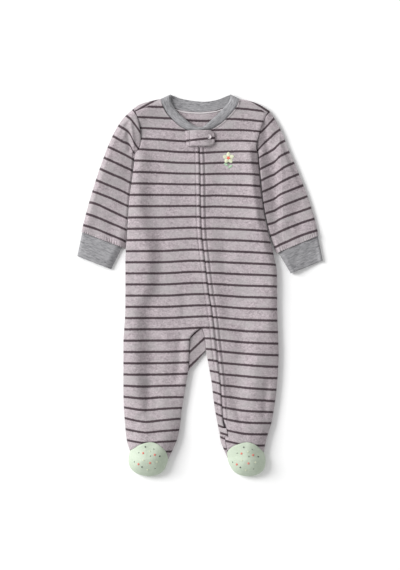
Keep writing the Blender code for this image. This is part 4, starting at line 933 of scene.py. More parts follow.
# ---- sleeves ----------------------------------------------------------------------------------
# Each sleeve is one piece of fleece with a seam under the arm, set into the armhole and gathered
# on to its cuff. Laid flat, it has a soft edge fold, and creases that run down from the armhole.

UNDERARM_GAP, ARMHOLE_GAP, SIDE_GAP = 1.9, 0.4, 0.6
REACH_OF_ARMHOLE, UNDERARM_SHARE = 0.32, 0.3
# The way in which the left sleeve lies clear of the underarm and of the rest of the armhole.
FROM_UNDERARM, FROM_ARMHOLE = np.array((0.7, -0.7)), np.array((1.0, 0.1))
Rail = namedtuple("Rail", "outer_x outer_y inner_x inner_y")
RIGHT_SLEEVE = [Rail(*row) for row in (
    (-104, 283.4, -104.3, 211), (-122.4, 266.4, -105, 203),
    (-135.2, 247.2, -106, 194), (-145.4, 225.6, -107.6, 180),
    (-155.4, 200, -110.3, 161), (-165.6, 170.4, -113, 138),
    (-174.6, 141.6, -115.2, 113), (-182.6, 112.8, -117, 85), (-189.6, 85.2, -119, 58.2),
)]
LEFT_SLEEVE = [Rail(*row) for row in (
    (110, 279, 92, 211), (121.4, 262, 92.9, 203), (131, 243.5, 93.8, 193),
    (140.4, 219, 95.3, 177), (150, 196.8, 97.1, 158), (162, 168, 99.8, 135),
    (172.6, 140, 103.8, 110), (181.6, 112, 110.9, 80), (189.8, 79, 121.4, 50.6),
)]
# The right sleeve is highest near its outer fold and falls evenly to the body. The left one lies
# low beside the body, rises steeply to a ridge, and falls slowly to its outer fold. Lean is how
# much higher the cloth lies against the body. Each row holds at a share of the way down.
SleeveLoft = namedtuple("SleeveLoft", "down seam peak mid outer_roll outer_fall inner_roll lean",
                        defaults=(0.0,))
RIGHT_SLEEVE_LOFT = [SleeveLoft(*row) for row in (
    (0, 6, 12.4, 6.4, 9, 44, 5), (0.4, 5.6, 14.4, 5.8, 8, 32, 2.5),
    (1, 4.4, 12, 5.6, 7, 30, 3),
)]
LEFT_SLEEVE_LOFT = [SleeveLoft(*row) for row in (
    (0, 5.2, 10.8, 6, 9, 12, 8, 0), (0.22, 5.4, 5.6, 3.7, 9, 12, 2, 9.4),
    (0.7, 4.8, 5.8, 4, 8, 12, 2, 7.2), (1, 3.8, 6.2, 4.8, 7, 12, 4, 1),
)]
LEAN_REACH, LEAN_STARTS = 13.5, 2.0
RIGHT_SLEEVE_CREASES = [Crease(*row) for row in (
    (-110.6, 258, -105.6, 222, 2.6, -2.2), (-117, 256, -112.5, 216, 4, 2),
    (-116, 250, -126, 232, 3.6, -1.3), (-140, 176, -150, 130, 8, 0.7),
    (-160, 128, -168, 96, 6, 0.7), (-128, 232, -140, 196, 6, 0.6),
)]
LEFT_SLEEVE_CREASES = [Crease(*row) for row in (
    (143, 98, 147, 78, 4, 1.3), (159, 94, 162, 74, 4.5, 0.9),
    (103, 256, 108, 212, 5, 2.4), (98, 258, 94, 226, 3, -1.4),
    (127, 222, 129, 182, 7.5, -3.4, 20), (129, 182, 130.5, 140, 5.6, -4.2, 24),
    (130.5, 140, 132, 92, 5.6, -4.2, 26), (136, 234, 144, 200, 7, 0.8),
    (150, 116, 158, 84, 7, 1),
)]
RIGHT_SLEEVE_GRAIN_X = (-191.2, -167.2, -143.2, -124.0, -112.8, -104.8, -95.2)
RIGHT_SLEEVE_GRAIN = (
    (304, 293, 282, 274, 267, 258, 244), (282, 272, 261, 251, 242, 226, 212),
    (262, 251, 240, 229, 224, 210, 206), (241, 230, 219, 210, 204, 200, 196),
    (219, 209, 199, 190, 185, 181, 177), (199, 189, 178, 170, 164, 161, 156),
    (178, 168, 158, 150, 144, 141, 136), (157, 148, 139, 130, 125, 122, 117),
    (134, 130, 119, 110, 105, 101, 97), (117, 109, 99, 91, 86, 82, 78),
    (97, 90, 80, 72, 66, 63, 59),
)
LEFT_SLEEVE_GRAIN_X = (90.4, 100.0, 109.6, 119.2, 127.2, 138.4, 164.0, 192.8)
LEFT_SLEEVE_GRAIN = (
    (240, 247, 257, 267, 270, 275, 287, 300), (212, 224, 233, 242, 248, 253, 265, 278),
    (201, 207, 212, 218, 226, 232, 244, 256), (183, 187, 192, 197, 205, 211, 222, 235),
    (164, 168, 173, 177, 183, 190, 201, 213), (146, 149, 153, 158, 163, 169, 180, 192),
    (127, 131, 134, 138, 144, 149, 159, 171), (109, 112, 116, 119, 124, 129, 139, 150),
    (91, 94, 97, 100, 105, 110, 119, 129), (71, 74, 78, 81, 85, 90, 100, 109),
    (48, 52, 56, 60, 64, 69, 80, 89),
)
SLEEVE_STRIPES = range(1, len(RIGHT_SLEEVE_GRAIN) + 1)
SLEEVE_STRIPE_PITCH = 19.0       # above the first of them
SLEEVE_LONG, SLEEVE_WIDE, SLEEVE_EDGE = 214.0, 70.0, (0, 0.2, 0.6, 1.3, 2.3, 3.6)
SLEEVE_STEP, SLEEVE_UNDER_STEP = 0.95, 3.2
SLEEVE_CREASES_FROM, SLEEVE_CREASES_OVER, SLEEVE_WAVES_OVER = 2.0, 8.0, 12.0
# Small uneven gathers above the cuff, wider rumples that reach further up, and the hem's lip.
GATHER_HEIGHT, GATHER_PITCH, GATHER_REACH, GATHER_EDGE = 0.6, 3.3, 10.0, 7.0
RUMPLE_HEIGHT, RUMPLE_WIDTH, RUMPLE_REACH, RUMPLE_EDGE = 0.7, 4.6, 26.0, 8.0
HEM_LIP, HEM_LIP_AT, HEM_LIP_WIDTH, HEM_LIP_EDGE = 0.7, 1.2, 1.1, 5.0
# Waves that shift the gathers to and fro, and one that makes some of them bigger: size, width in
# millimetres, and how differently it starts on the two sleeves.
GATHER_SHIFT, GATHER_SHIFTS = 2.6, ((0.65, 5.1, 1.0), (0.4, 2.3, 0.0))
GATHER_SIZE, GATHER_SIZES = 0.7, (0.5, 9.0, 1.1)
# The cuffs' form, which the sleeves take on at their hems. A cuff's side next to the body lies
# higher than its other side by the tilt. -1 is the right cuff, 1 the left.
CUFF_LOFT = SleeveLoft(0, 3.6, 7.2, 7.0, 4.5, 9.0, 4.5)
CUFF_TILT, CUFF_TILT_PIVOT, CUFF_TILT_OVER = {-1: 3.0, 1: 7.0}, 0.15, 7.0
CUFF_SHOULDER = {-1: 6.0, 1: 0.0}      # how much rounder the side next to the body is
HEM_STEP, HEM_REACH, HEM_EDGE = 0.9, 20.0, 3.0


def cuff_top(away, toward_body, side):
    rounder = CUFF_SHOULDER[side] * toward_body
    full = crown(away, CUFF_LOFT, CUFF_LOFT.outer_roll + rounder, CUFF_LOFT.outer_fall)
    tilt = CUFF_TILT[side] * (toward_body - CUFF_TILT_PIVOT)
    return full + tilt * ease(away / (CUFF_TILT_OVER + rounder))


def gathers(across, from_hem, away, side):
    """Height of the gathers, from how far across the hem, above it and in from the sides."""
    def wave(size, wide, start):
        return size * np.sin(across / wide + start * side)

    uneven = sum(wave(*row) for row in GATHER_SHIFTS)
    fold = np.sin(2 * math.pi * across / GATHER_PITCH + uneven * GATHER_SHIFT)
    bigger = GATHER_SIZE + wave(*GATHER_SIZES)
    strength = np.exp(-(from_hem / GATHER_REACH) ** 1.2) * ease(away / GATHER_EDGE)
    rumple = wave(RUMPLE_HEIGHT, RUMPLE_WIDTH, 0.6) * bell(from_hem, RUMPLE_REACH)
    lip = bell(from_hem - HEM_LIP_AT, HEM_LIP_WIDTH) * (1 + 0.4 * fold)
    return (GATHER_HEIGHT * fold * bigger * strength + rumple * ease(away / RUMPLE_EDGE)
            + HEM_LIP * lip * ease(away / HEM_LIP_EDGE))


def build_sleeve(name, rails, armhole, shoulder, side, loft_rows, creases, grain_x, grain):
    """A flattened tube from the armhole to the gathered hem. side is -1 for the right one."""
    inner = Curve([(r.inner_x + side * SIDE_GAP, r.inner_y) for r in rails])
    outer = Curve([(r.outer_x, r.outer_y) for r in rails])
    down = shares_of(SLEEVE_LONG, SEWN + (6.0,), SEWN)
    top = shares_of(SLEEVE_WIDE, SLEEVE_EDGE, SLEEVE_EDGE, SLEEVE_STEP)
    under = shares_of(SLEEVE_WIDE, SLEEVE_EDGE, SLEEVE_EDGE, SLEEVE_UNDER_STEP)[1:-1][::-1]
    a, b = (edge.along(down * (len(rails) - 1)) for edge in (inner, outer))

    def ring_places(t):
        """Rings from edge to edge, drawn to the armhole at the top of the sleeve."""
        place = a[:, None] + (b - a)[:, None] * t[None, :, None]
        keep = ((1 - np.minimum(1, down / REACH_OF_ARMHOLE)) ** 2)[:, None, None]
        up = ease(t / UNDERARM_SHARE)[:, None]
        way = unit((side, 1) * (FROM_UNDERARM * (1 - up) + FROM_ARMHOLE * up))
        way *= UNDERARM_GAP + (ARMHOLE_GAP - UNDERARM_GAP) * up
        shift = armhole.at(1 - t) - (a[0] + (b[0] - a[0]) * t[:, None]) + way
        return place + shift[None] * keep

    rings = []
    for t, upper in ((top, True), (under, False)):
        places = ring_places(t)
        flat, share = places.reshape(-1, 2), np.tile(t, len(down))
        from_outer, from_inner = outline_away(flat, (outer, shoulder)), inner.away(flat)
        ends = (share == 0) | (share == 1)
        away = np.where(ends, 0.0, np.minimum(from_outer, from_inner))
        loft = between(loft_rows, np.repeat(down, len(t)))
        height = belly(away, loft)
        if upper:
            full = crown(from_outer, loft, loft.outer_roll, loft.outer_fall)
            height = loft.seam + (full - loft.seam) * ease(from_inner / loft.inner_roll)
            lean = loft.lean * bell(from_inner, LEAN_REACH)
            height = np.where(ends, loft.seam, height + lean * ease(from_inner / LEAN_STARTS))
            loose = ease((away - SLEEVE_CREASES_FROM) / SLEEVE_CREASES_OVER)
            height += drift(flat) * ease(away / SLEEVE_WAVES_OVER)
            height -= crease_depth(flat, creases) * loose + seam_dip(flat, (armhole,))
            hem = b[-1] - a[-1]
            from_hem = np.linalg.norm(flat - a[-1] - hem * share[:, None], axis=1)
            at_hem = bell(from_hem, HEM_REACH) * ease(away / HEM_EDGE)
            hem_top = cuff_top(away, 1 - share, side) + HEM_STEP
            height += np.where(ends, 0.0, (hem_top - height) * at_hem)
            height += gathers(share * np.linalg.norm(hem), from_hem, away, side)
        rings.append(raised(places, height.reshape(places.shape[:2])))
    stripes = stripe_phase(grain_x, grain, SLEEVE_STRIPES, SLEEVE_STRIPE_PITCH)
    made = cloth(name + "_fleece", [name], [(np.concatenate(rings, 1), stripes)], up=side > 0,
                 closed=True)
    return made, (a[-1], b[-1])


sleeve_right, right_hem = build_sleeve(
    "sleeve_right", RIGHT_SLEEVE, RIGHT_ARMHOLE, RIGHT_SHOULDER, -1, RIGHT_SLEEVE_LOFT,
    RIGHT_SLEEVE_CREASES, RIGHT_SLEEVE_GRAIN_X, RIGHT_SLEEVE_GRAIN)
sleeve_left, left_hem = build_sleeve(
    "sleeve_left", LEFT_SLEEVE, LEFT_ARMHOLE, LEFT_SHOULDER, 1, LEFT_SLEEVE_LOFT,
    LEFT_SLEEVE_CREASES, LEFT_SLEEVE_GRAIN_X, LEFT_SLEEVE_GRAIN)


# ---- cuffs ------------------------------------------------------------------------------------
# Doubled tubes of grey melange rib, 38 mm deep, narrower than the sleeve that is gathered on to
# them. Their free end is the fold.

RIB = 2.2
RIGHT_CUFF_END = Rail(-196.2, 46.2, -142.4, 25.0)
LEFT_CUFF_END = Rail(196.2, 39.0, 145.2, 18.4)
CUFF_DEEP = 38.0
CUFF_TAKE_IN = {-1: (0.02, 0.925), 1: (0.02, 0.95)}
CUFF_FALL = {-1: 0.3, 1: 3.6}          # the folded end lies this much lower than the seam
CUFF_CREASES = {
    -1: (Crease(-172, 58, -152, 45, 5, 0.35), Crease(-152, 40, -140, 30, 5, 0.4)),
    1: (Crease(160, 56, 149, 27, 5, 0.9), Crease(172, 52, 166, 34, 4.5, 0.55)),
}
CUFF_CREASES_OVER = 9.0
CUFF_ROUND, CUFF_ROUND_SEAM, CUFF_ROUND_FOLD = 0.9, 1.3, 0.9     # how its two ends are rounded
CUFF_STEP, CUFF_STEP_ACROSS, CUFF_DRIFT = 2.0, 1.3, 0.6
PLEAT_HEIGHT, PLEAT_WIDTH, PLEAT_REACH, PLEAT_EDGE = 0.45, 4.1, 9.0, 6.0
SEAM_GAP = 0.3


def make_rib(name, light, dark, rib_pitch):
    """Grey melange rib: flecks drawn out along the band, over fine ribs that run across it."""
    material, tree, shader = start_material(name, 0.92, 0.1, 0.5, (1, 1, 1, 1))
    place = node(tree, "UVMap", uv_map="cloth").outputs[0]
    flecks = grouped(tree, HEATHER, Place=place, Light=light, Dark=dark,
                     Tint=tuple(0.5 * (p + q) for p, q in zip(light, dark)),
                     Cloud=90.0, Mottle=380.0, Fleck=900.0, Stretch=(1.0, 0.15, 1))
    along = node(tree, "SeparateXYZ", {0: place}).outputs[1]
    rib = maths(tree, "SINE", maths(tree, "MULTIPLY", along, 2 * math.pi / rib_pitch))
    nap = grouped(tree, NAP, Place=place, Clump=600.0)
    height = node(tree, "Mix", {0: 0.5, 2: rib, 3: nap}).outputs[0]
    surface(tree, shader, flecks, height, 0.4, 0.0006)
    return material


RIB_KNIT = make_rib("rib_knit", (0.49, 0.485, 0.50, 1), (0.07, 0.069, 0.076, 1), 0.0015)


def rib_tube(name, replaces, rings, uv, up):
    """A closed wall round a tube that is open at both ends."""
    points = rings.reshape(-1, 3)
    number = numbered(*rings.shape[:2], closed=True)
    faces = quads(number)
    if not up:
        faces = faces[:, ::-1]
    inner = points - normals_of(points, faces) * RIB
    count = len(points)
    rims = []
    for row, forward in ((number[0], up), (number[-1], not up)):
        rim = np.stack([row[:-1], row[1:], row[1:] + count, row[:-1] + count], -1)
        rims.append(rim if forward else rim[:, ::-1])
    whole = np.vstack([faces, faces[:, ::-1] + count, *rims])
    return add_mesh(name, np.vstack([points, inner]), whole, RIB_KNIT,
                    np.vstack([uv, uv])[whole] * MM, replaces)


def build_cuff(name, hem, end, side):
    inner, outer = hem
    far = np.array((end.outer_x, end.outer_y)), np.array((end.inner_x, end.inner_y))
    start = [outer + (inner - outer) * share + unit(far[0] - outer) * SEAM_GAP
             for share in CUFF_TAKE_IN[side]]
    down = shares_of(CUFF_DEEP, (0, 0.4, 0.9, 1.6, 2.6), (0, 0.3, 0.7, 1.2, 2.0, 3.0), CUFF_STEP)
    hem_wide = np.linalg.norm(start[1] - start[0])
    top = shares_of(hem_wide, SLEEVE_EDGE, SLEEVE_EDGE, CUFF_STEP_ACROSS)
    rings, uvs = [], []
    for s in down:
        a, b = (near + (to - near) * s for near, to in zip(start, far))
        wide, deep = np.linalg.norm(b - a), s * CUFF_DEEP
        rounded = CUFF_ROUND * (bell(deep, CUFF_ROUND_SEAM)
                                + bell(CUFF_DEEP - deep, CUFF_ROUND_FOLD))
        ring, uv = [], []
        for t, upper in ((top, True), (top[1:-1][::-3], False)):
            away = np.minimum(t, 1 - t) * wide
            place = a + (b - a) * t[:, None]
            height = belly(away, CUFF_LOFT)
            if upper:
                lower = CUFF_FALL[side] * s + crease_depth(place, CUFF_CREASES[side])
                pleat = np.sin(t * wide / PLEAT_WIDTH + side) * bell(deep, PLEAT_REACH)
                uneven = PLEAT_HEIGHT * pleat + CUFF_DRIFT * drift(place)
                height = (cuff_top(away, t, side) - rounded * ease(away / HEM_EDGE)
                          - lower * ease(away / CUFF_CREASES_OVER)
                          + uneven * ease(away / PLEAT_EDGE))
            ring.append(raised(place, height))
            uv.append(np.stack([np.full(len(t), deep), t * wide], -1))
        rings.append(np.concatenate(ring))
        uvs.append(np.concatenate(uv))
    return rib_tube(name + "_rib", [name], np.array(rings), np.vstack(uvs), side < 0)


cuff_right = build_cuff("cuff_right", right_hem, RIGHT_CUFF_END, -1)
cuff_left = build_cuff("cuff_left", left_hem, LEFT_CUFF_END, 1)


# ---- neckband ---------------------------------------------------------------------------------
# One folded ring of the same rib, 14 mm wide, sewn to the neckline: it lies over the fronts, turns
# at the two sides of the neck, and lies on the surface behind.

BAND_FRONT_EDGE = Curve((
    (-47, 304.6), (-46.4, 293.6), (-42.1, 284.6), (-34, 274.4), (-22.7, 264.3), (-11.8, 256.4),
    (-3, 252.6), (4, 252.8), (14.9, 261.2), (26.9, 272.2), (37.8, 283.2), (46.1, 293.2),
    (49.0, 304.6)))
BAND_BACK_EDGE = Curve((
    (-47, 304.6), (-34, 299), (-17.9, 295.4), (0, 293.4), (12, 293.4), (28.6, 296.4),
    (41.0, 301.4), (49.0, 304.6)))
BAND_PEAK_Z, BAND_FRONT_Z, BAND_ROUND, BAND_BULGE = 6.6, 8.6, 9.0, 0.9
BAND_SEAM_DIP, BAND_FOLD_DROP = 1.0, 1.8
BAND_ACROSS = np.array((0, 0.04, 0.09, 0.16, 0.26, 0.38, 0.5, 0.62, 0.74, 0.83, 0.9, 0.95, 1.0))
BAND_SOFT, BAND_DIP_WIDTH, BAND_FOLD_WIDTH, BAND_BEHIND_AT = 8.0, 1.6, 1.5, 400
BAND_BULGE_SOFT, BAND_COLUMNS, BAND_COLUMNS_BEHIND = 12, 76, 91


def build_neckband():
    """The ring's two halves, front and behind, from the neckline to its folded edge."""
    front = np.vstack([line.at(np.linspace(0, 1, BAND_COLUMNS))
                       for line in (RIGHT_NECKLINE, LEFT_NECKLINE)])
    behind = BACK_NECKLINE.at(np.linspace(1, 0, BAND_COLUMNS_BEHIND))[1:-1]
    t = BAND_ACROSS[None, :]
    stations, uvs = [], []
    for places, edge, upper in ((front, BAND_FRONT_EDGE, True), (behind, BAND_BACK_EDGE, False)):
        run = run_of(places)
        shares = run / run[-1]
        rim = edge.at(shares if upper else 1 - (0.004 + 0.992 * shares))
        seam = places + unit(rim - places) * SEAM_GAP
        from_peak = np.min([np.linalg.norm(rim - peak, axis=1) for peak in edge.at((0.0, 1.0))],
                           axis=0)
        wide = np.linalg.norm(rim - seam, axis=1)[:, None]
        if upper:
            seam_z = front_height(places)
            seam_z[[0, -1]] = BODY_LOFT[0].seam
            rise = (BAND_FRONT_Z - BAND_PEAK_Z) * quarter_round(from_peak / BAND_ROUND)
            rim_z, bulge = BAND_PEAK_Z + rise, BAND_BULGE * ease(from_peak / BAND_BULGE_SOFT)
            low = (BAND_SEAM_DIP * bell(t * wide, BAND_DIP_WIDTH)
                   + BAND_FOLD_DROP * bell((1 - t) * wide, BAND_FOLD_WIDTH))
            low *= ease(from_peak / BAND_SOFT)[:, None]
        else:
            seam_z = under_height(places)
            rim_z = BAND_PEAK_Z * (1 - quarter_round(from_peak / BAND_PEAK_Z))
            bulge, low = 0 * from_peak, 0.0
        height = seam_z[:, None] * (1 - t) + rim_z[:, None] * t
        height += bulge[:, None] * np.sin(math.pi * t) - low
        place = seam[:, None] + (rim - seam)[:, None] * t[..., None]
        stations.append(raised(place, height))
        start = 0 if upper else BAND_BEHIND_AT
        uvs.append(np.stack([t * wide, np.repeat(run[:, None] + start, len(BAND_ACROSS), 1)], -1))
    rings, uv = (np.transpose(np.vstack(rows), (1, 0, 2)) for rows in (stations, uvs))
    return rib_tube("neckband_rib", ["neckband"], rings, uv.reshape(-1, 2), False)


neckband = build_neckband()


# ---- feet -------------------------------------------------------------------------------------
# A domed cap of mint fleece over each foot and a flat sole under it, joined round the toes.

def make_dyed(name, light, dark, tint, look, clump, bump, **flecks):
    """Cloth or thread of one colour, with flecks. look is its roughness and sheen."""
    material, tree, shader = start_material(name, *look)
    place = node(tree, "TexCoord").outputs["Object"]
    colour = grouped(tree, HEATHER, Place=place, Light=light, Dark=dark, Tint=tint, **flecks)
    surface(tree, shader, colour, grouped(tree, NAP, Place=place, Clump=clump), *bump)
    return material


MINT = make_dyed(
    "mint_fleece", (0.575, 0.64, 0.535, 1), (0.44, 0.525, 0.40, 1), (0.53, 0.6, 0.495, 1),
    (0.95, 0.12, 0.45, (0.95, 1, 0.95, 1)), 420.0, (0.5, 0.001), Stretch=(1, 1, 1))
FOOT_RINGS = np.array((1, 0.995, 0.985, 0.965, 0.94, 0.91, 0.87, 0.83, 0.78, 0.73, 0.67, 0.61, 0.54,
                       0.47, 0.4, 0.33, 0.26, 0.19, 0.12, 0.06))
TOE_COLUMNS, FOOT_SEAM_COLUMNS = 70, 50


def build_foot(name, seam, toe, height, up):
    """A cap or a sole: rings that shrink from its edge to its middle."""
    toe_places = toe.at(np.linspace(0, 1, TOE_COLUMNS))
    seam_places = seam.at(np.linspace(0, 1, FOOT_SEAM_COLUMNS))
    from_start = np.linalg.norm(toe_places[[0, -1]] - seam_places[0], axis=1)
    if from_start[0] > from_start[1]:
        toe_places = toe_places[::-1]
    centre = np.vstack([toe_places, seam_places]).mean(0)
    seam_places = seam_places + unit(centre - seam_places) * SEAM_GAP
    loop = np.vstack([seam_places, toe_places[1:-1][::-1]])
    rings = with_height(centre + (loop - centre)[None] * FOOT_RINGS[:, None, None], height)
    middle = with_height(np.array([[centre]]), height)
    hub = np.concatenate([rings[-1:], np.repeat(middle, rings.shape[1], 1)])
    grids = [(points, lambda places: places[:, 1] / STRIPE_PITCH) for points in (rings, hub)]
    return cloth(name + "_fleece", [name], grids, up=up, closed=True, material=MINT)


def cap_height(places):
    return front_height(places) - seam_dip(places, (Curve(RIGHT_CAP_SEAM), Curve(LEFT_CAP_SEAM)))


for side_name, cap_seam, toe in (("right", RIGHT_CAP_SEAM, RIGHT_TOE),
                                 ("left", LEFT_CAP_SEAM, LEFT_TOE)):
    cap = build_foot(f"foot_cap_{side_name}", Curve(cap_seam), Curve(toe), cap_height, True)
    sole = build_foot(f"foot_sole_{side_name}", heel_seam(cap_seam[0], cap_seam[-1]), Curve(toe),
                      under_height, False)


# ---- crotch gusset ----------------------------------------------------------------------------
# A small piece of the striped fleece, let in between the legs with its stripes on the slant. It
# sags from the inner leg seams.

GUSSET_LONG, GUSSET_WIDE, GUSSET_END_Y = 50.0, 30.0, (-137.0, -105.5)
GUSSET_GAP, GUSSET_Z, GUSSET_RISE, GUSSET_FALL, GUSSET_SAG = 0.6, 5.7, 1.6, 2.0, 0.8
GUSSET_SAGS_OVER, GUSSET_TILTS_FROM, GUSSET_TILTS_OVER = 0.4, 0.25, 0.3      # shares of its length
GUSSET_EDGE, GUSSET_STEP, GUSSET_STEP_ACROSS = (0, 0.5, 1.2), 1.8, 1.6
GUSSET_STRIPE_RISE, GUSSET_STRIPE_Y, GUSSET_STRIPE_PITCH = 0.93, -91.8, 23.0


def build_gusset():
    v = shares_of(GUSSET_LONG, (0, 1), (0, 1), GUSSET_STEP)
    u = shares_of(GUSSET_WIDE, GUSSET_EDGE, GUSSET_EDGE, GUSSET_STEP_ACROSS)
    ends = []
    for leg, end_y, side in zip((RIGHT_INNER_LEG, LEFT_INNER_LEG), GUSSET_END_Y, (1, -1)):
        y = CROTCH_Y + (end_y - CROTCH_Y) * v
        ends.append(np.stack([leg.x_at(y) + side * GUSSET_GAP, y - GUSSET_GAP * (1 - v)], -1))
    places = ends[0][:, None] + (ends[1] - ends[0])[:, None] * u[None, :, None]
    sag = np.sin(math.pi * u)[None, :] * ease(v / GUSSET_SAGS_OVER)[:, None]
    tilt = GUSSET_RISE * (1 - u[None]) - GUSSET_FALL * u[None]
    tilt = tilt * ease((v - GUSSET_TILTS_FROM) / GUSSET_TILTS_OVER)[:, None]
    height = GUSSET_Z + tilt - GUSSET_SAG * sag

    def slant(places):
        x, y = places[:, 0], places[:, 1]
        return (GUSSET_STRIPE_Y + GUSSET_STRIPE_RISE * x - y) / GUSSET_STRIPE_PITCH

    return cloth("gusset_fleece", ["crotch_gusset"], [(raised(places, height), slant)])


gusset = build_gusset()


# ---- zip --------------------------------------------------------------------------------------
# Two woven tapes with a nylon coil each, sewn under the folded edges of the fronts from the neck
# to the left ankle; the coils mesh below the gap. The slider is parked at the top, under the guard.

TAPE_REACH, TAPE_REACH_LEAST, TAPE_EDGE_KEEP, TAPE, TAPE_UNDER = 6.5, 3.0, 3.0, 0.8, -3.1
COIL_PITCH, COIL_REACH, COIL_THICK, COIL_LAP, COIL_UNDER = 1.5, 2.5, 0.55, 0.5, 0.4
COIL_WIRE, COIL_CORNERS, COIL_SIDES = 0.32, 10, 5
SLOPE_STEP = 1.5


def front_normal(places):
    across, along = (
        (front_height(places + way) - front_height(places - way)) / (2 * SLOPE_STEP)
        for way in (np.array((SLOPE_STEP, 0.0)), np.array((0.0, SLOPE_STEP))))
    return unit(np.stack([-across, -along, np.ones(len(places))], -1))


def off_front(places, lift):
    """Points this far out of the fronts' surface, square to the cloth."""
    flat = places.reshape(-1, 2)
    out = front_normal(flat) * np.broadcast_to(lift, places.shape[:-1]).reshape(-1, 1)
    return (raised(flat, front_height(flat)) + out).reshape(*places.shape[:-1], 3)


def make_thread(name, light, dark, roughness=0.5):
    return make_dyed(name, light, dark, light, (roughness, 0.1), 1500.0, (0.3, 0.0004),
                     Mottle=700.0, Fleck=1500.0)


ZIP_COIL = make_thread("zip_coil", (0.11, 0.085, 0.096, 1), (0.055, 0.042, 0.048, 1), 0.7)


def capped_tube(rings, flip=False):
    """The points and faces of a tube from its rings, closed at both ends."""
    number = numbered(*rings.shape[:2], closed=True)
    faces = quads(number).tolist() + [number[0, :-1].tolist(), number[-1, -2::-1].tolist()]
    return rings.reshape(-1, 3), [face[::-1] for face in faces] if flip else faces


def zip_middle(y):
    return np.stack([ZIP.x_at(y) + slot_width(y) / 2, y], -1)


def coil(y_top, y_low, side, first):
    """One flattened loop of nylon for each turn, and its faces from point number first."""
    y = np.arange(y_top - (0 if side > 0 else COIL_PITCH / 2), y_low, -COIL_PITCH)
    base = off_front(zip_middle(y), TAPE_UNDER - TAPE - COIL_UNDER)
    angle = np.linspace(0, 2 * math.pi, COIL_CORNERS, endpoint=False)
    middle = side * (HALF_GAP + COIL_REACH / 2 - COIL_LAP)
    shape = np.stack([middle + np.cos(angle) * COIL_REACH / 2, 0 * angle,
                      np.sin(angle) * COIL_THICK], -1)
    sideways = np.array((0.0, 1.0, 0.0))
    other = np.cross(unit(np.roll(shape, -1, 0) - np.roll(shape, 1, 0)), sideways)
    turn = np.linspace(0, 2 * math.pi, COIL_SIDES, endpoint=False)[None, :, None]
    tube = shape[:, None] + COIL_WIRE * (np.cos(turn) * sideways + np.sin(turn) * other[:, None])
    number = np.pad(numbered(COIL_CORNERS, COIL_SIDES, first), ((0, 1), (0, 1)), mode="wrap")
    starts = np.arange(len(y)) * COIL_CORNERS * COIL_SIDES
    faces = quads(number)[:, [0, 3, 2, 1]] + starts[:, None, None]
    return (base[:, None, None] + tube[None]).reshape(-1, 3), faces.reshape(-1, 4).tolist()


def build_tape(name, side):
    y = np.linspace(ZIP_TOP_Y - 1.0, ZIP_END_Y + 3.0, 200)
    reach = np.full(len(y), TAPE_REACH)
    if side < 0:
        strip = ZIP.x_at(y) - LEFT_INNER_LEG.x_at(y)
        narrow = np.clip(strip - TAPE_EDGE_KEEP, TAPE_REACH_LEAST, TAPE_REACH)
        reach = np.where(y < CROTCH_Y, narrow, reach)
    rings = []
    for across, lift in ((1, -TAPE), (1, 0), (0.5, 0.05), (0, 0), (0, -TAPE), (0.5, -TAPE)):
        offset = side * (HALF_GAP + (reach - HALF_GAP) * across)
        rings.append(off_front(zip_middle(y) + np.stack([offset, 0 * y], -1), TAPE_UNDER + lift))
    points, faces = capped_tube(np.transpose(rings, (1, 0, 2)), flip=side < 0)
    coil_points, coil_faces = coil(y[0] - 2.0, y[-1] + 2.0, side, len(points))
    add_mesh(name + "_coil", np.vstack([points, coil_points]), faces + coil_faces, ZIP_COIL,
             replaces=[name])


build_tape("zip_tape_right", -1)
build_tape("zip_tape_left", 1)

THREAD_RISE = 0.6        # how high a stitch bows in its middle
Stitch = namedtuple("Stitch", "start end ground rise", defaults=(0.0, THREAD_RISE))
THREAD_SIDES, THREAD_SINK = 6, -0.35
BOW = np.linspace(0, 1, 6)           # how a thread goes from hole to hole


def thread(points, radius):
    """The points and faces of a round thread along these points."""
    ahead = unit(np.gradient(points, axis=0))
    across = unit(np.cross(ahead, (0.0, 0.0, 1.0)))[:, None]
    other = np.cross(across[:, 0], ahead)[:, None]
    turn = np.linspace(0, 2 * math.pi, THREAD_SIDES, endpoint=False)[None, :, None]
    return capped_tube(points[:, None] + radius * (np.cos(turn) * across + np.sin(turn) * other))


def add_threads(name, threads, radius, material):
    """One piece from many short threads."""
    points, faces, count = [], [], 0
    for line in threads:
        some, more = thread(line, radius)
        points.append(some)
        faces += [[k + count for k in face] for face in more]
        count += len(some)
    add_mesh(name, np.vstack(points), faces, material)


def sewn(stitches):
    """Threads over the fronts from hole to hole; ground is how far the cloth lies off its form."""
    start, end, ground, rise = (np.array([s[k] for s in stitches], float) for k in range(4))
    places = start[:, None] + (end - start)[:, None] * BOW[None, :, None]
    lift = ground[:, None] + THREAD_SINK + rise[:, None] * np.sin(math.pi * BOW)[None]
    return off_front(places, lift)


# The topstitching runs down both sides of the zip, in the grooves. Its thread colour is partly its
# own tone, matched to the fleece, and partly painted shade: it is darkened to the shade that falls
# in the grooves it lies in.
SEWING_THREAD_IN_GROOVE_SHADE = make_thread("sewing_thread_in_groove_shade", (0.40, 0.345, 0.365, 1), (0.3, 0.26, 0.28, 1), 0.7)
TOPSTITCH_LONG, TOPSTITCH_PITCH, TOPSTITCH_RADIUS, TOPSTITCH_LIFT = 2.5, 3.3, 0.26, 0.15
TOPSTITCH_TOP_Y, TOPSTITCH_LOW_Y = 217.0, -222.0


def topstitches(side):
    lines = []
    for y in np.arange(TOPSTITCH_TOP_Y, TOPSTITCH_LOW_Y, -TOPSTITCH_PITCH):
        ends = []
        for end_y in (y, y - TOPSTITCH_LONG):
            edge = ZIP.x_at(end_y) + (left_zip_edge(end_y) if side > 0 else 0.0)
            ends.append((float(edge) + side * GROOVE_AT, end_y))
        lines.append(Stitch(*ends, TOPSTITCH_LIFT - float(groove_depth(y))))
    return lines


add_threads("zip_topstitch", sewn(topstitches(-1) + topstitches(1)), TOPSTITCH_RADIUS,
            SEWING_THREAD_IN_GROOVE_SHADE)


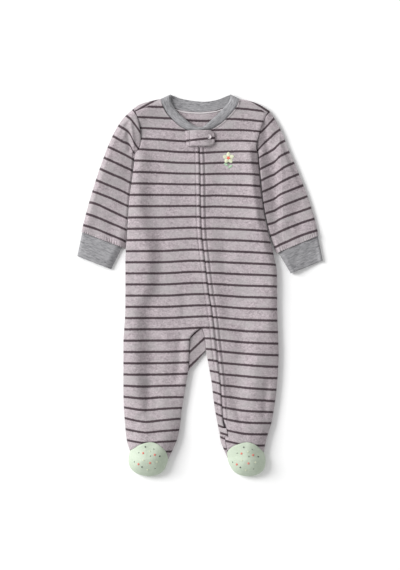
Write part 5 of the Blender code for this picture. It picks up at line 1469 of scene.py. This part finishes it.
def make_clouded(name, roughness, scale, detail, dark, light, metallic=0.0):
    """A hard material with slow, faint clouds of a second tone."""
    material, tree, shader = start_material(name, roughness)
    shader.inputs["Metallic"].default_value = metallic
    place = node(tree, "TexCoord").outputs["Object"]
    clouds = node(tree, "TexNoise", {"Vector": place, "Scale": scale, "Detail": detail})
    tree.links.new(mixed(tree, clouds.outputs[0], dark, light), shader.inputs["Base Color"])
    return material


ZIP_METAL = make_clouded("zip_metal", 0.3, 600.0, 3.0, (0.44, 0.432, 0.424, 1),
                         (0.55, 0.54, 0.53, 1), metallic=1.0)
for name in ("zip_slider", "zip_pull"):
    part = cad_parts[name]
    part.data.materials.clear()
    part.data.materials.append(ZIP_METAL)


# ---- neck cord --------------------------------------------------------------------------------
# The seam of the neckband is covered inside the back with a pale, soft cord of overlock thread.

NECK_CORD_RADIUS, NECK_CORD_BELOW, NECK_CORD_POINTS = 0.9, 1.9, 90
PALE_CORD = make_thread("pale_cord", (0.74, 0.71, 0.72, 1), (0.55, 0.52, 0.53, 1), 0.9)
cord_shares = np.linspace(0.1, 0.9, NECK_CORD_POINTS)
cord_places = BACK_NECKLINE.at(cord_shares) - (0, NECK_CORD_BELOW)
cord_line = raised(cord_places, np.full(NECK_CORD_POINTS, FLEECE + 0.6 * NECK_CORD_RADIUS))
add_threads("neck_cord", [cord_line], NECK_CORD_RADIUS, PALE_CORD)


# ---- zip guard and snap -----------------------------------------------------------------------
# A rounded flap of double fleece, sewn to the right front below the neckband and closed with a
# clear snap on the left front, so that the slider can't touch the chin.

FLAP, FLAP_GAP = 2.4, 0.5
FLAP_RIGHT_X, FLAP_LEFT_X, FLAP_TOP_Y, FLAP_LOW_Y = -22.8, 24.0, 247.4, 221.6
FLAP_LIFT, FLAP_ARCH, FLAP_SQUARE, FLAP_SLANT = 3.4, 19.0, 2.8, 3.0
FLAP_EDGE, FLAP_STEP, FLAP_WIDE, FLAP_LONG = (0, 0.2, 0.5, 0.9, 1.4, 2.0, 2.8), 0.9, 22.8, 40.0
FLAP_STRAIGHT = 0.9                  # the share of its length before the columns come closer
FLAP_ROUND = (0.915, 0.93, 0.944, 0.957, 0.968, 0.978, 0.986, 0.992, 0.996)
FLAP_SLANT_ENDS = 6                  # its sewn end's slant is gone after a sixth of its length
FLAP_STITCH_EDGE = 1.5
FLAP_EDGE_DROP, FLAP_EDGE_WIDTH, FLAP_ROLL, FLAP_ROLL_AT, FLAP_ROLL_WIDTH = 1.3, 1.0, 0.6, 2.2, 1.3
FLAP_STITCH_X, FLAP_STITCH_DEPTH, FLAP_STITCH_WIDTH = -16.2, 1.3, 0.9
FLAP_STITCH_TOP_Y, FLAP_STITCH_LOW_Y = FLAP_TOP_Y - 2.4, FLAP_LOW_Y + 3.0
FLAP_STRIPE_X, FLAP_STRIPE_Y, FLAP_STRIPE_RISE = -20.8, 230.5, 0.1       # it rises to the snap


def flap_height(places):
    middle = ZIP.x_at(places[:, 1]) + slot_width(places[:, 1]) / 2
    ridge = ZIP_RIDGE * bell(ZIP.away(places), ZIP_RIDGE_WIDTH)
    dome = (FLAP_LIFT + ZIP_RIDGE) * np.exp(-((places[:, 0] - middle) / FLAP_ARCH) ** 4)
    return front_height(places) - ridge + FLAP_GAP + FLAP + dome


def guard_phase(places):
    x, y = places[:, 0], places[:, 1]
    return (FLAP_STRIPE_Y + FLAP_STRIPE_RISE * (x - FLAP_STRIPE_X) - y) / STRIPE_PITCH


def build_guard():
    """Columns from the sewn end to the round one, which come closer where it rounds off."""
    middle_y, half = (FLAP_TOP_Y + FLAP_LOW_Y) / 2, (FLAP_TOP_Y - FLAP_LOW_Y) / 2
    v = shares_of(FLAP_WIDE, FLAP_EDGE, FLAP_EDGE, FLAP_STEP)
    straight = shares_of(FLAP_LONG, FLAP_EDGE, (0, 0.7), FLAP_STEP) * FLAP_STRAIGHT
    u = np.concatenate([straight, FLAP_ROUND])
    x = FLAP_RIGHT_X + (FLAP_LEFT_X - FLAP_RIGHT_X) * u
    past = np.maximum(0, x - (FLAP_LEFT_X - half)) / half
    reach = half * (1 - past ** FLAP_SQUARE) ** (1 / FLAP_SQUARE)
    slant = FLAP_SLANT * (1 - np.minimum(1, u * FLAP_SLANT_ENDS))
    places = np.stack([x[None] + slant[None] * (v[:, None] - 0.5),
                       middle_y + reach[None] * (1 - 2 * v[:, None])], -1)
    points = with_height(places, flap_height)
    edge = np.minimum(np.minimum(v, 1 - v)[:, None] * 2 * reach[None],
                      places[..., 0] - FLAP_RIGHT_X)
    edge = np.maximum(np.minimum(edge, FLAP_LEFT_X - places[..., 0]), 0)
    points[..., 2] -= FLAP_EDGE_DROP * bell(edge, FLAP_EDGE_WIDTH)
    points[..., 2] += FLAP_ROLL * bell(edge - FLAP_ROLL_AT, FLAP_ROLL_WIDTH)
    stitched = bell(places[..., 0] - FLAP_STITCH_X, FLAP_STITCH_WIDTH)
    points[..., 2] -= FLAP_STITCH_DEPTH * stitched * ease(edge / FLAP_STITCH_EDGE)
    return cloth("guard_fleece", ["zip_guard"], [(points, guard_phase)], wall=FLAP)


guard = build_guard()


def guard_stitches():
    lines = []
    for y in np.arange(FLAP_STITCH_TOP_Y, FLAP_STITCH_LOW_Y, -TOPSTITCH_PITCH):
        places = np.stack([np.full(len(BOW), FLAP_STITCH_X), y - TOPSTITCH_LONG * BOW], -1)
        height = flap_height(places) - FLAP_STITCH_DEPTH + THREAD_SINK + TOPSTITCH_LIFT
        lines.append(raised(places, height + THREAD_RISE * np.sin(math.pi * BOW)))
    return lines


# The guard's stitches use the same thread, with the groove's shade painted into its colour.
add_threads("guard_topstitch", guard_stitches(), TOPSTITCH_RADIUS, SEWING_THREAD_IN_GROOVE_SHADE)

SNAP_PLASTIC = make_clouded("snap_plastic", 0.5, 500.0, 2.0, (0.5, 0.45, 0.47, 1),
                            (0.62, 0.57, 0.59, 1))
SNAP_PLACE = np.array([(14.9, 236.8)])
# Radius and height of its ring and of the hollow in the middle.
SNAP_PROFILE = ((3.4, -0.8), (3.6, 0.0), (3.5, 0.4), (3.2, 0.65), (2.7, 0.7), (2.3, 0.5),
                (2, 0.15), (1, 0.1), (0.2, 0.1))


def turned(profile, count, base, out):
    """Points and faces of a round part: a profile turned about an axis."""
    across = unit(np.array((out[2], 0, -out[0])))
    along = np.cross(out, across)
    angles = np.linspace(0, 2 * math.pi, count, endpoint=False)
    points = [base + r * (math.cos(w) * across + math.sin(w) * along) + h * out
              for r, h in profile for w in angles]
    number = numbered(len(profile), count, closed=True)
    faces = quads(number)[:, [0, 3, 2, 1]].tolist()
    return np.array(points), faces + [number[-1, :-1].tolist(), number[0, -2::-1].tolist()]


snap_points, snap_faces = turned(
    SNAP_PROFILE, 40, with_height(SNAP_PLACE[None], flap_height)[0, 0], front_normal(SNAP_PLACE)[0])
add_mesh("snap_cap", snap_points, snap_faces, SNAP_PLASTIC, replaces=["snap"])


# ---- zip end tab ------------------------------------------------------------------------------
# A small folded piece of the fleece, sewn over the lower end of the zip at the ankle.

END_TAB_TOP_Y, END_TAB_LOW_Y, END_TAB_IN, END_TAB_OUT = -228.6, -241.6, 2.4, 13.0
END_TAB, END_TAB_GAP, END_TAB_DROP, END_TAB_DROP_WIDTH = 1.4, 0.6, 0.5, 0.8
END_TAB_STRIPE_X, END_TAB_STRIPE_Y, END_TAB_STRIPE_FALL = 38.0, -237.6, 0.3
END_TAB_EDGE = (0, 0.2, 0.5, 1.0, 1.6)


def end_tab_phase(places):
    x, y = places[:, 0], places[:, 1]
    return (END_TAB_STRIPE_Y - y - END_TAB_STRIPE_FALL * (x - END_TAB_STRIPE_X)) / STRIPE_PITCH


def build_end_tab():
    wide, long = END_TAB_OUT - END_TAB_IN, END_TAB_TOP_Y - END_TAB_LOW_Y
    v = np.linspace(0, 1, 12)
    u = shares_of(wide, END_TAB_EDGE, END_TAB_EDGE, 0.9)
    y = END_TAB_TOP_Y - long * v
    x = LEFT_INNER_LEG.x_at(y)[:, None] + END_TAB_IN + wide * u[None]
    places = np.stack([x, np.repeat(y[:, None], len(u), 1)], -1)
    edge = np.minimum(np.minimum(u, 1 - u)[None] * wide, np.minimum(v, 1 - v)[:, None] * long)
    lift = END_TAB_GAP + END_TAB - END_TAB_DROP * bell(edge, END_TAB_DROP_WIDTH)
    return cloth("end_tab_fleece", ["zip_end_tab"], [(off_front(places, lift), end_tab_phase)],
                 wall=END_TAB)


end_tab = build_end_tab()


# ---- embroidery -------------------------------------------------------------------------------
# A small flower in satin stitch on the left of the chest, and scattered stars, crosses and dots on
# the foot caps, all in a thick rayon thread.

CREAM = make_thread("cream_thread", (0.78, 0.8, 0.62, 1), (0.62, 0.66, 0.48, 1))
CORAL = make_thread("coral_thread", (0.87, 0.21, 0.16, 1), (0.7, 0.14, 0.11, 1))
LEAF = make_thread("leaf_thread", (0.5, 0.68, 0.5, 1), (0.38, 0.54, 0.38, 1))
CHARCOAL = make_thread("charcoal_thread", (0.035, 0.033, 0.036, 1), (0.02, 0.02, 0.022, 1))
SATIN_PITCH, SATIN_RADIUS, SATIN_SHORTEST = 0.46, 0.27, 0.35
SATIN_GROUND, SATIN_RISE = 0.35, 0.9
LEAF_LEAN, LEAF_BLUNT = 0.85, 0.7        # widest a little nearer to its root; blunt ends
FLOWER = np.array((45.6, 203.0))
PETALS, PETAL_START, PETAL_LONG, PETAL_WIDE = 5, 2.1, 7.4, 6.2
HEART_LONG, HEART_WIDE = 5.8, 5.2
STEM = Curve(((45.4, 195.4), (44.4, 190.4), (46.4, 185.6)))


def heading(angle):
    return np.array((math.cos(angle), math.sin(angle)))


def leaf_of_satin(root, angle, long, wide):
    """Threads side by side across a pointed oval."""
    ahead = heading(angle)
    across = np.array((-ahead[1], ahead[0]))
    lines = []
    for way in np.arange(SATIN_PITCH, long, SATIN_PITCH):
        half = wide / 2 * math.sin(math.pi * (way / long) ** LEAF_LEAN) ** LEAF_BLUNT
        if half > SATIN_SHORTEST:
            middle = root + ahead * way
            lines.append(Stitch(middle - across * half, middle + across * half, SATIN_GROUND,
                                SATIN_RISE))
    return lines


petals = []
for angle in (math.radians(90 + 360 * k / PETALS) for k in range(PETALS)):
    root = FLOWER + PETAL_START * heading(angle)
    petals += leaf_of_satin(root, angle, PETAL_LONG, PETAL_WIDE)
heart = leaf_of_satin(FLOWER - (HEART_LONG / 2, 0.0), 0.0, HEART_LONG, HEART_WIDE)
stem = [Stitch(*STEM.at((s, s + 0.2)), 0.3, 0.7) for s in np.arange(0, 0.99, 0.2)]
leaves = leaf_of_satin(np.array((45.4, 187.6)), math.radians(28), 7.6, 3.8)
leaves += leaf_of_satin(np.array((44.4, 191.0)), math.radians(152), 6.8, 3.4)
add_threads("chest_petals", sewn(petals), SATIN_RADIUS, CREAM)
add_threads("chest_flower_heart", sewn(heart), SATIN_RADIUS, CORAL)
add_threads("chest_leaves", sewn(stem + leaves), SATIN_RADIUS, LEAF)

Mark = namedtuple("Mark", "x y arms reach turn")      # how many threads cross, and their length
CAP_MIDDLES = ((-82.6, -277.0), (74.2, -277.6))
CHARCOAL_MARKS = [Mark(*row) for row in (
    (-15, 9.5, 1, 0.9, 40), (-4.5, 19, 2, 1.3, 10), (9, 15.5, 1, 0.9, 120),
    (18.5, 4, 2, 1.3, 30), (3.5, 4.5, 1, 0.9, 70), (-10, -13, 2, 1.3, 0),
    (11, -15.5, 1, 0.9, 15), (-22, -5, 1, 0.9, 95),
)]
CORAL_MARKS = [Mark(*row) for row in (
    (-8, 9, 3, 1.9, 0), (10.5, 6.5, 3, 1.9, 20), (-15.5, -8.5, 3, 1.9, 35),
    (3, -6.5, 3, 1.9, 10),
)]
CREAM_MARKS = [Mark(*row) for row in (
    (2.5, 12, 2, 1.6, 45), (-7.5, -2, 2, 1.6, 20), (14, -5, 2, 1.6, 0),
    (-1, -17.5, 2, 1.6, 60),
)]
MARK_RADIUS = 0.38


def marks(rows):
    lines = []
    for middle in CAP_MIDDLES:
        for m in rows:
            spot = np.array(middle) + (m.x, m.y)
            for k in range(m.arms):
                way = m.reach * heading(math.radians(m.turn) + math.pi * k / m.arms)
                lines.append(Stitch(spot - way, spot + way, 0.2, 0.8))
    return lines


for name, rows, material in (
    ("foot_marks_charcoal", CHARCOAL_MARKS, CHARCOAL), ("foot_marks_coral", CORAL_MARKS, CORAL),
    ("foot_marks_cream", CREAM_MARKS, CREAM),
):
    add_threads(name, sewn(marks(rows)), MARK_RADIUS, material)


# ---- floor, light and camera ------------------------------------------------------------------
# A white ground, a large soft light from the upper left, a pale sky, and a camera straight above.

ground_material, _, ground_shader = start_material("white_ground", 0.9)
ground_shader.inputs["Base Color"].default_value = (0.97, 0.97, 0.97, 1)
bpy.ops.mesh.primitive_plane_add(size=8.0, location=(0, 0, -0.0004))
floor = bpy.context.object
floor.name = "ground"
floor.data.materials.append(ground_material)

world = bpy.data.worlds.new("studio")
bpy.context.scene.world = world
world.use_nodes = True
sky = world.node_tree.nodes["Background"].inputs
sky["Color"].default_value = (1, 1, 1, 1)
sky["Strength"].default_value = 0.58

lamp_data = bpy.data.lights.new("key", "AREA")
lamp_data.size, lamp_data.energy = 3.4, 430.0
lamp = bpy.data.objects.new("key", lamp_data)
lamp.location = (-4.8, 2.0, 3.5)
lamp.rotation_euler = (-lamp.location).to_track_quat("-Z", "Y").to_euler()
bpy.context.scene.collection.objects.link(lamp)

CAMERA_HEIGHT, VIEW_WIDTH, SENSOR_WIDTH = 6.0, 0.640, 36.0
camera_data = bpy.data.cameras.new("camera")
camera_data.sensor_fit = "HORIZONTAL"
camera_data.sensor_width = SENSOR_WIDTH
camera_data.lens = SENSOR_WIDTH * CAMERA_HEIGHT / VIEW_WIDTH
camera_data.clip_end = 100.0
camera = bpy.data.objects.new("camera", camera_data)
camera.location = (0, 0, CAMERA_HEIGHT)
bpy.context.scene.collection.objects.link(camera)
bpy.context.scene.camera = camera
bpy.context.scene.view_settings.view_transform = "Standard"
